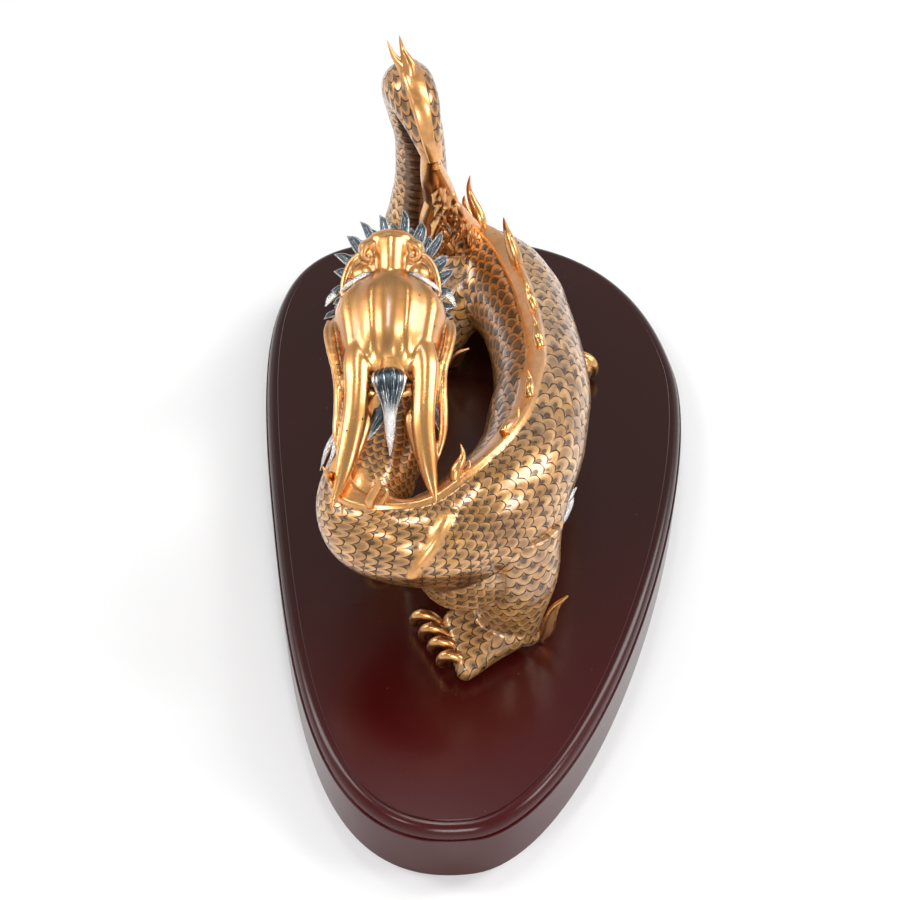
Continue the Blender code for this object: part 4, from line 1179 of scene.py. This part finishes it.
def scale_group():
    """Painted scales: each scale's rim, dark spot, outline, own random value and height."""
    nodes, given, result = new_group(
        "Painted scales",
        [("Place", "NodeSocketVector", None), ("Rim Width", "NodeSocketFloat", 0.34)],
        [("Rim", "NodeSocketFloat"), ("Spot", "NodeSocketFloat"), ("Outline", "NodeSocketFloat"),
         ("Random", "NodeSocketFloat"), ("Height", "NodeSocketFloat")])
    m = nodes.math
    split = nodes.add("SeparateXYZ", {"Vector": given["Place"]}).outputs
    u, v = split[0], split[1]
    row = m("FLOOR", v)
    within = m("SUBTRACT", v, row)

    def across(line):
        shifted = m("SUBTRACT", u, m("MULTIPLY", m("FLOORED_MODULO", line, 2.0), 0.5))
        whole = m("ROUND", shifted)
        return m("SUBTRACT", shifted, whole), whole

    next_row = m("ADD", row, 1.0)
    upper, upper_cell = across(row)
    lower, lower_cell = across(next_row)
    radius = nodes.reach(upper, within, SCALE_SPREAD)
    inside = m("LESS_THAN", radius, 1.0)

    def choose(first, second):
        return m("ADD", second, m("MULTIPLY", inside, m("SUBTRACT", first, second)))

    x = choose(upper, lower)
    y = choose(within, m("SUBTRACT", within, 1.0))
    cell = {"X": choose(upper_cell, lower_cell), "Y": choose(row, next_row)}
    cell = nodes.add("CombineXYZ", cell).outputs[0]
    random = nodes.add("TexWhiteNoise", {"Vector": cell}, noise_dimensions="2D").outputs[0]
    own = nodes.reach(x, m("MAXIMUM", y, 0.0), SCALE_SPREAD)
    rim_start = m("SUBTRACT", 1.0, m("ADD", given["Rim Width"], m("MULTIPLY", random, 0.16)))
    rim = nodes.ramp(m("SUBTRACT", own, rim_start), -0.10, 0.10)
    other = m("FRACT", m("MULTIPLY", random, 7.31))
    slide = m("SUBTRACT", x, m("MULTIPLY", m("SUBTRACT", other, 0.5), 0.14))
    drop = m("SUBTRACT", y, m("SUBTRACT", 0.16, m("MULTIPLY", random, 0.22)))
    spot_edge = m("ADD", 0.25, m("MULTIPLY", other, 0.17))
    spot_core = m("ADD", 0.15, m("MULTIPLY", other, 0.14))
    spot = nodes.ramp(nodes.reach(slide, drop, 3.0), spot_edge, spot_core)
    gap = m("ABSOLUTE", m("SUBTRACT", radius, 1.0))
    fade = nodes.ramp(m("ABSOLUTE", upper), 0.50, 0.44, 0.45, 1.0)
    outline = m("MULTIPLY", nodes.ramp(gap, 0.115, 0.050), fade)
    top = m("SUBTRACT", m("MULTIPLY", m("ADD", y, 1.0), 0.5), m("MULTIPLY", m("MULTIPLY", x, x), 0.5))
    lean = m("MULTIPLY", x, m("SUBTRACT", other, 0.5))
    tilt = m("ADD", lean, m("MULTIPLY", y, m("SUBTRACT", random, 0.5)))
    top = m("ADD", top, m("MULTIPLY", tilt, SCALE_TILT))
    made = {"Rim": rim, "Spot": spot, "Outline": outline, "Random": random, "Height": top}
    for label, value in made.items():
        nodes.feed(result[label], value)


def wear_group():
    """Glaze faults: sparse pinholes, cloudy patches and fine ripples."""
    nodes, given, result = new_group(
        "Glaze faults",
        [("Vector", "NodeSocketVector", None), ("Pits", "NodeSocketFloat", 1.0)],
        [("Pit", "NodeSocketFloat"), ("Cloud", "NodeSocketFloat"), ("Speck", "NodeSocketFloat"),
         ("Height", "NodeSocketFloat")])
    m = nodes.math
    cells = nodes.add("TexVoronoi", {"Vector": given["Vector"], "Scale": 125.0, "Randomness": 1.0})
    draws = nodes.add("SeparateColor", {"Color": cells.outputs["Color"]}).outputs
    chosen = m("GREATER_THAN", draws[0], 0.30)
    size = m("MULTIPLY", draws[1], 0.06)
    pit = nodes.ramp(cells.outputs["Distance"], m("ADD", 0.065, size), m("ADD", 0.035, size))
    pit = m("MULTIPLY", m("MULTIPLY", pit, chosen), given["Pits"])
    cloud = nodes.noise(given["Vector"], 38.0, 4.0, 0.6)
    fine = nodes.noise(given["Vector"], 420.0, 3.0, 0.6)
    speck = nodes.ramp(nodes.noise(given["Vector"], 1100.0, 2.0, 0.5), 0.66, 0.72)
    ripple = nodes.noise(given["Vector"], 95.0, 2.0, 0.5)
    height = m("ADD", m("MULTIPLY", ripple, 0.9), m("MULTIPLY", fine, 0.06))
    height = m("SUBTRACT", height, m("MULTIPLY", pit, 1.2))
    for label, value in {"Pit": pit, "Cloud": cloud, "Speck": speck, "Height": height}.items():
        nodes.feed(result[label], value)


def new_material(name, metallic, roughness, coat):
    """A material with its Principled shader and the piece's own coordinates."""
    made = bpy.data.materials.new(name)
    made.use_nodes = True
    nodes = Nodes(made.node_tree)
    shader = made.node_tree.nodes["Principled BSDF"]
    shader.inputs["Metallic"].default_value = metallic
    shader.inputs["Roughness"].default_value = roughness
    shader.inputs["Coat Weight"].default_value = coat
    shader.inputs["Coat Roughness"].default_value = 0.15
    shader.inputs["Coat IOR"].default_value = 1.9
    place = nodes.add("TexCoord").outputs["Object"]
    return made, nodes, shader, place


def bump(nodes, shader, height, distance, strength):
    node = nodes.add("Bump", {"Height": height, "Distance": distance, "Strength": strength})
    nodes.feed(shader.inputs["Normal"], node.outputs[0])


def gold_material(settings):
    """Smooth gilding: cloudy gold, browner in the hollows with painted shade, with pinholes in the glaze."""
    made, nodes, shader, place = new_material("smooth gilding", 1.0, 0.26, 0.60)
    m = nodes.math
    fault = use_group(nodes, "Glaze faults", Vector=place, Pits=1.0)
    light, deep = rgb(*settings.gold_colour), rgb(*settings.deep_gold_colour)
    colour = nodes.mix(nodes.ramp(fault["Cloud"], 0.35, 0.68), light, deep)
    # painted shade: the gilding turns brown in the hollows
    hollow = nodes.attribute("hollow")
    colour = nodes.mix(m("MULTIPLY", hollow, 0.80), colour, HOLLOW_SHADE_BROWN)
    colour = nodes.mix(m("MULTIPLY", fault["Speck"], 0.35), colour, SPECK_BROWN)
    colour = nodes.mix(fault["Pit"], colour, PIT_BLACK)
    nodes.feed(shader.inputs["Base Color"], colour)
    rough = m("ADD", nodes.ramp(fault["Cloud"], 0.3, 0.75, 0.25, 0.34), m("MULTIPLY", fault["Pit"], 0.4))
    rough = m("ADD", rough, m("MULTIPLY", hollow, 0.12))
    nodes.feed(shader.inputs["Roughness"], rough)
    bump(nodes, shader, fault["Height"], 0.00035, 0.55)
    return made


def scale_colour(nodes, place, scales, deep):
    """The painted scales' colour, darkened by painted shade where deep is high, their dark spots and their
    drawn outlines.
    """
    m = nodes.math
    brush = nodes.noise(place, 330.0, 3.0, 0.65)
    patch = nodes.noise(place, 24.0, 2.0, 0.5)
    tone = nodes.ramp(scales["Random"], 0.1, 0.9)
    core = nodes.mix(tone, rgb(0.54, 0.28, 0.095), rgb(0.40, 0.225, 0.095))
    core = nodes.mix(nodes.ramp(patch, 0.44, 0.60), core, rgb(0.66, 0.34, 0.10))
    rim = nodes.mix(nodes.ramp(brush, 0.35, 0.7), rgb(0.90, 0.51, 0.21), rgb(0.76, 0.39, 0.13))
    copper = nodes.ramp(m("FRACT", m("MULTIPLY", scales["Random"], 3.7)), 0.72, 0.78)
    rim = nodes.mix(copper, rim, rgb(0.70, 0.33, 0.07))
    colour = nodes.mix(m("MULTIPLY", scales["Rim"], nodes.ramp(brush, 0.2, 0.5, 0.75, 1.0)), core, rim)
    shade = nodes.ramp(m("FRACT", m("MULTIPLY", scales["Random"], 5.3)), 0.0, 1.0, 0.30, 0.0)
    colour = nodes.mix(shade, colour, rgb(0.30, 0.15, 0.06))
    mottle = nodes.ramp(nodes.noise(place, 52.0, 3.0, 0.6), 0.46, 0.66, 0.0, 0.60)
    colour = nodes.mix(mottle, colour, rgb(0.22, 0.105, 0.040))
    # painted shade: where deep is high the scales turn dark brown, with orange rims
    painted_shade_colour = nodes.mix(scales["Rim"], rgb(0.14, 0.070, 0.028), rgb(0.54, 0.22, 0.045))
    colour = nodes.mix(m("MULTIPLY", deep, 0.95), colour, painted_shade_colour)
    often = m("ADD", scales["Random"], m("MULTIPLY", patch, 0.4))
    spot = m("MULTIPLY", scales["Spot"], nodes.ramp(often, 0.30, 0.62, 0.15, 1.0))
    colour = nodes.mix(m("MULTIPLY", spot, nodes.ramp(brush, 0.25, 0.6, 0.50, 0.92)), colour, SPOT_BLACK)
    drawn = m("MULTIPLY", scales["Outline"], nodes.ramp(brush, 0.22, 0.50, 0.65, 1.0))
    return nodes.mix(drawn, colour, OUTLINE_BROWN), spot, drawn


def scale_material(settings):
    """Gilded scales, with the smooth ridge, the belly plates and the bare glaze at the soles; the belly
    plates' dark brown and the darkened deep places are painted shade.
    """
    made, nodes, shader, place = new_material("gilded scales", 0.8, 0.30, 0.70)
    m = nodes.math
    fault = use_group(nodes, "Glaze faults", Vector=place, Pits=0.6)
    where = nodes.attribute("scale_place", "Vector")
    # deep is the painted shade on the body's scales
    ridge, belly, deep, soft = (nodes.attribute(name) for name in ("ridge", "belly", "deep", "soft"))
    scales = use_group(nodes, "Painted scales", Place=where)
    colour, spot, drawn = scale_colour(nodes, place, scales, deep)

    # painted shade: the belly plates are dark brown; the darker lines between them are their joints
    plate = m("FRACT", nodes.axis(where, 2))
    line = nodes.ramp(m("ABSOLUTE", m("SUBTRACT", plate, 0.5)), 0.38, 0.49)
    under = nodes.mix(line, rgb(0.17, 0.075, 0.026), rgb(0.030, 0.014, 0.008))
    cloud = nodes.ramp(fault["Cloud"], 0.35, 0.68)
    smooth = nodes.mix(cloud, rgb(*settings.gold_colour), rgb(0.68, 0.30, 0.08))
    colour = nodes.mix(belly, colour, under)
    colour = nodes.mix(ridge, colour, smooth)
    colour = nodes.mix(m("MULTIPLY", fault["Speck"], 0.35), colour, rgb(0.14, 0.06, 0.02))
    colour = nodes.mix(fault["Pit"], colour, PIT_BLACK)
    ragged = m("ADD", nodes.axis(place, 2), m("MULTIPLY", nodes.noise(place, 160.0), 0.0016))
    foot = nodes.ramp(ragged, SOLE + 0.0022, SOLE + 0.0016)
    colour = nodes.mix(foot, colour, BARE_GLAZE)
    nodes.feed(shader.inputs["Base Color"], colour)

    gilt = m("SUBTRACT", m("ADD", 0.80, m("MULTIPLY", ridge, 0.15)), m("MULTIPLY", soft, 0.38))
    dull = m("ADD", m("MULTIPLY", foot, 0.9), m("MULTIPLY", spot, 0.35))
    nodes.feed(shader.inputs["Metallic"], m("SUBTRACT", gilt, dull, clamp=True))
    rough = m("ADD", nodes.ramp(fault["Cloud"], 0.3, 0.75, 0.27, 0.36), m("MULTIPLY", drawn, 0.15))
    nodes.feed(shader.inputs["Roughness"], rough)
    painted = m("MULTIPLY", m("MAXIMUM", drawn, spot), m("SUBTRACT", 1.0, ridge))
    nodes.feed(shader.inputs["Coat Weight"], m("SUBTRACT", 0.70, m("MULTIPLY", painted, 0.50)))

    groove = m("MULTIPLY", m("SINE", m("MULTIPLY", nodes.axis(where, 2), 12.6)), 0.06)
    scaly = m("SUBTRACT", m("MULTIPLY", scales["Height"], 0.25), m("MULTIPLY", scales["Outline"], 0.30))
    height = m("MULTIPLY", scaly, m("SUBTRACT", 1.0, m("ADD", ridge, belly, clamp=True)))
    height = m("ADD", height, m("MULTIPLY", groove, ridge))
    height = m("ADD", height, m("MULTIPLY", fault["Height"], 0.45))
    bump(nodes, shader, height, 0.00030, 0.6)
    return made


def silver_material():
    """Silvered relief: bright on the ribs and edges, blue-grey in the grooves."""
    made, nodes, shader, place = new_material("silvered relief", 0.9, 0.2, 0.15)
    m = nodes.math
    along, around, painted = (nodes.attribute(name) for name in ("along", "around", "dark"))
    fault = use_group(nodes, "Glaze faults", Vector=place, Pits=0.3)
    strands = nodes.add("CombineXYZ", {"X": m("MULTIPLY", around, 3.2), "Y": m("MULTIPLY", along, 1.2)})
    streak = nodes.noise(strands.outputs[0], 3.0, 4.0, 0.65)
    edge = nodes.ramp(m("ABSOLUTE", m("COSINE", around)), 0.80, 0.93)
    dark = m("MULTIPLY", nodes.ramp(streak, 0.70, 0.50), painted)
    dark = m("MULTIPLY", dark, m("SUBTRACT", 1.0, m("MULTIPLY", edge, 0.85)))
    colour = nodes.mix(dark, rgb(0.80, 0.81, 0.80), rgb(0.035, 0.055, 0.070))
    colour = nodes.mix(m("MULTIPLY", fault["Speck"], 0.3), colour, rgb(0.05, 0.05, 0.05))
    nodes.feed(shader.inputs["Base Color"], colour)
    nodes.feed(shader.inputs["Roughness"], nodes.ramp(fault["Cloud"], 0.3, 0.75, 0.14, 0.30))
    height = m("ADD", m("MULTIPLY", streak, 1.5), m("MULTIPLY", fault["Height"], 0.3))
    bump(nodes, shader, height, 0.0004, 0.7)
    return made


def lacquer_material(settings):
    """Dark red-brown lacquer with a painted sheen that makes it brighter red towards the narrow end, and a
    little dust in it.
    """
    made, nodes, shader, place = new_material("mahogany lacquer", 0.0, 0.22, 0.0)
    shader.inputs["Specular IOR Level"].default_value = 0.42
    m = nodes.math
    broad = nodes.ramp(nodes.noise(place, 7.0, 2.0, 0.5), 0.4, 0.65, 0.0, 0.5)
    colour = nodes.mix(broad, rgb(*settings.lacquer_colour), rgb(0.031, 0.0052, 0.0038))
    # painted sheen: brighter red towards the narrow end
    near = nodes.ramp(nodes.axis(place, 1), -0.02, -0.20)
    colour = nodes.mix(m("MULTIPLY", near, 0.9), colour, rgb(0.056, 0.0014, 0.0022))
    specks = nodes.add("TexVoronoi", {"Vector": place, "Scale": 240.0})
    chosen = nodes.add("SeparateColor", {"Color": specks.outputs["Color"]}).outputs[0]
    dust = nodes.ramp(specks.outputs["Distance"], 0.075, 0.03)
    dust = m("MULTIPLY", dust, m("GREATER_THAN", chosen, 0.93))
    colour = nodes.mix(m("MULTIPLY", dust, 0.35), colour, rgb(0.35, 0.30, 0.28))
    nodes.feed(shader.inputs["Base Color"], colour)
    nodes.feed(shader.inputs["Roughness"], m("ADD", 0.20, m("MULTIPLY", dust, 0.3)))
    bump(nodes, shader, dust, 0.0002, 0.3)
    return made


def floor_material(settings):
    made, nodes, shader, place = new_material("pale floor", 0.0, 0.6, 0.0)
    tone = nodes.noise(place, 1.2, 2.0, 0.5)
    shade = settings.floor_tone
    colour = nodes.mix(tone, rgb(shade, shade, shade), rgb(shade * 0.985, shade * 0.985, shade * 0.99))
    nodes.feed(shader.inputs["Base Color"], colour)
    return made


def material_named(name):
    """The finished material of this name, made with the rest the first time it is asked for."""
    if name not in bpy.data.materials:
        settings = bpy.context.scene.dragon_finish
        if "Glaze faults" not in bpy.data.node_groups:
            scale_group()
            wear_group()
        makers = {
            "gilded scales": lambda: scale_material(settings),
            "smooth gilding": lambda: gold_material(settings),
            "silvered relief": silver_material,
            "mahogany lacquer": lambda: lacquer_material(settings),
            "pale floor": lambda: floor_material(settings),
        }
        makers[name]()
    return bpy.data.materials[name]


# ---------------------------------------------------------------- stage

CAMERA_PLACE = (-0.1147, -0.6444, 0.7121)
CAMERA_AIM = (-0.0204, 0.0243, 0.0368)
CAMERA_LENS = 66.44
FLOOR_SIDE = 12.0

# Each light: name, place, where it points, width, height, power
LIGHTS = (
    ("far overhead softbox", (0.00, 0.46, 1.75), (0.0, 0.05, 0.10), 0.20, 0.44, 3.0),
    ("near softbox", (-0.10, -1.25, 1.00), (-0.02, -0.05, 0.08), 0.60, 0.45, 7.0),
    ("right front softbox", (1.15, -0.48, 0.98), (0.0, -0.08, 0.12), 0.34, 0.46, 4.0),
    ("left front softbox", (-0.72, -0.56, 1.30), (-0.06, -0.10, 0.12), 0.20, 0.26, 1.8),
    ("left softbox", (-1.00, 0.40, 1.05), (0.0, 0.0, 0.12), 0.34, 1.10, 6.5),
    ("right softbox", (1.10, 0.30, 1.05), (0.0, 0.0, 0.12), 0.42, 1.10, 8.5),
)
LOW_LIGHT = 0.72  # the room's light near the floor
HIGH_LIGHT = 0.37  # and from the ceiling


def facing(place, aim):
    """The turn that makes a camera or a light at one place look at another."""
    return (Vector(aim) - Vector(place)).to_track_quat("-Z", "Y").to_euler()


def make_stage(settings):
    """The pale floor, the camera, the softboxes and the room's soft light."""
    scene = bpy.context.scene
    deselect()
    bpy.ops.mesh.primitive_plane_add(size=FLOOR_SIDE, location=(0, 0, PLINTH_LOW.z))
    floor = bpy.context.object
    floor.name = floor.data.name = "floor"
    bpy.ops.object.transform_apply(location=True, rotation=False, scale=False)
    floor.data.materials.append(material_named("pale floor"))
    camera = bpy.data.objects.new("camera", bpy.data.cameras.new("camera"))
    scene.collection.objects.link(camera)
    camera.location = CAMERA_PLACE
    camera.rotation_euler = facing(CAMERA_PLACE, CAMERA_AIM)
    camera.data.lens = CAMERA_LENS
    scene.camera = camera
    for name, place, aim, width, height, power in LIGHTS:
        bpy.ops.object.light_add(type="AREA", location=place)
        light = bpy.context.object
        light.name = name
        light.rotation_euler = facing(place, aim)
        light.data.shape = "RECTANGLE"
        light.data.size, light.data.size_y = width, height
        light.data.energy = power * settings.light_power
    world = bpy.data.worlds.new("studio")
    world.use_nodes = True
    background = world.node_tree.nodes["Background"]
    background.inputs["Color"].default_value = rgb(1.0, 1.0, 1.0)
    nodes = Nodes(world.node_tree)
    height = nodes.axis(nodes.add("TexCoord").outputs["Generated"], 2)
    tone = nodes.ramp(height, 0.38, 0.60, LOW_LIGHT, HIGH_LIGHT)
    nodes.feed(background.inputs["Strength"], nodes.math("MULTIPLY", tone, settings.room_light))
    scene.world = world
    scene.view_settings.view_transform = "Standard"


# ---------------------------------------------------------------- add-on


class DragonFinish(bpy.types.PropertyGroup):
    """Sizes and colours of the dragon's finish that a user would change."""

    clay_grain: bpy.props.FloatProperty(
        name="Clay Grain", description="Distance between points of the modelled head, horns and flames",
        default=0.00065, min=0.0004, max=0.003, unit="LENGTH", precision=5)
    gold_colour: bpy.props.FloatVectorProperty(
        name="Gold", description="Colour of the smooth gilding",
        default=(0.83, 0.41, 0.120), min=0, max=1, subtype="COLOR")
    deep_gold_colour: bpy.props.FloatVectorProperty(
        name="Deep Gold", description="Colour of the gilding where it clouds over",
        default=(0.60, 0.26, 0.070), min=0, max=1, subtype="COLOR")
    lacquer_colour: bpy.props.FloatVectorProperty(
        name="Lacquer", description="Colour of the plinth's lacquer",
        default=(0.026, 0.0052, 0.0032), min=0, max=1, subtype="COLOR")
    floor_tone: bpy.props.FloatProperty(
        name="Floor Tone", description="How pale the studio floor is",
        default=0.96, min=0, max=1, subtype="FACTOR")
    light_power: bpy.props.FloatProperty(
        name="Light Power", description="Multiplies the power of every softbox",
        default=1.0, min=0, subtype="FACTOR")
    room_light: bpy.props.FloatProperty(
        name="Room Light", description="Strength of the plain light from all around",
        default=1.0, min=0, subtype="FACTOR")


class DRAGON_OT_plinth(bpy.types.Operator):
    """Models the egg-shaped lacquered plinth with its moulded edge"""

    bl_idname = "dragon.plinth"
    bl_label = "Plinth"

    def execute(self, context):
        make_plinth(material_named("mahogany lacquer"))
        return {"FINISHED"}


class DRAGON_OT_legs(bpy.types.Operator):
    """Models the four scaled legs, flat at the soles and filleted to the body"""

    bl_idname = "dragon.legs"
    bl_label = "Legs"

    def execute(self, context):
        points = body_grid()[0][::4, ::2]
        rings, sides = points.shape[:2]
        guide = mesh_object("guide", points.reshape(-1, 3), tube_faces(rings, sides))
        for leg in LEGS:
            make_leg(leg, guide, material_named("gilded scales"))
        bpy.data.objects.remove(guide)
        return {"FINISHED"}


class DRAGON_OT_body(bpy.types.Operator):
    """Models the scaled body from the neck to the tail, with its ridge and belly plates"""

    bl_idname = "dragon.body"
    bl_label = "Body"

    def execute(self, context):
        make_body(material_named("gilded scales"))
        return {"FINISHED"}


class DRAGON_OT_claws(bpy.types.Operator):
    """Models each foot's curled claws and the spur at its heel"""

    bl_idname = "dragon.claws"
    bl_label = "Claws"

    def execute(self, context):
        for leg in LEGS:
            make_claws(leg, material_named("smooth gilding"))
        return {"FINISHED"}


class DRAGON_OT_spikes(bpy.types.Operator):
    """Models the flame-shaped spikes along the ridge"""

    bl_idname = "dragon.spikes"
    bl_label = "Back Spikes"

    def execute(self, context):
        make_spikes(material_named("smooth gilding"))
        return {"FINISHED"}


class DRAGON_OT_flames(bpy.types.Operator):
    """Models the tuft of curling flames at the tail's tip"""

    bl_idname = "dragon.flames"
    bl_label = "Tail Flames"

    def execute(self, context):
        make_tail_flames(material_named("smooth gilding"), context.scene.dragon_finish.clay_grain)
        return {"FINISHED"}


class DRAGON_OT_head(bpy.types.Operator):
    """Models the head with its snout, eyes, jaw, horns and ears"""

    bl_idname = "dragon.head"
    bl_label = "Head and Horns"

    def execute(self, context):
        make_head(material_named("smooth gilding"), context.scene.dragon_finish.clay_grain)
        return {"FINISHED"}


class DRAGON_OT_silver(bpy.types.Operator):
    """Models the silvered beard leaves, brows, nape tuft, mane and elbow tuft"""

    bl_idname = "dragon.silver"
    bl_label = "Silvered Hair"

    def execute(self, context):
        make_beard(material_named("silvered relief"))
        make_silver_hair(material_named("silvered relief"))
        return {"FINISHED"}


class DRAGON_OT_stage(bpy.types.Operator):
    """Sets up the pale floor, the softboxes and the camera"""

    bl_idname = "dragon.stage"
    bl_label = "Stage"

    def execute(self, context):
        make_stage(context.scene.dragon_finish)
        return {"FINISHED"}


OPERATORS = (DRAGON_OT_plinth, DRAGON_OT_legs, DRAGON_OT_body, DRAGON_OT_claws, DRAGON_OT_spikes,
             DRAGON_OT_flames, DRAGON_OT_head, DRAGON_OT_silver, DRAGON_OT_stage)


class DRAGON_PT_panel(bpy.types.Panel):
    """The sidebar panel with the finish's settings and the pieces"""

    bl_idname = "DRAGON_PT_panel"
    bl_label = "Gilded Dragon"
    bl_space_type = "VIEW_3D"
    bl_region_type = "UI"
    bl_category = "Dragon"

    def draw(self, context):
        for name in DragonFinish.__annotations__:
            self.layout.prop(context.scene.dragon_finish, name)
        for operator in OPERATORS:
            self.layout.operator(operator.bl_idname)


def register():
    for made in (DragonFinish, *OPERATORS, DRAGON_PT_panel):
        bpy.utils.register_class(made)
    bpy.types.Scene.dragon_finish = bpy.props.PointerProperty(type=DragonFinish)


def unregister():
    del bpy.types.Scene.dragon_finish
    for made in reversed((DragonFinish, *OPERATORS, DRAGON_PT_panel)):
        bpy.utils.unregister_class(made)


def main():
    register()
    for operator in OPERATORS:
        getattr(bpy.ops.dragon, operator.bl_idname.split(".")[1])()


if __name__ == "__main__":
    main()
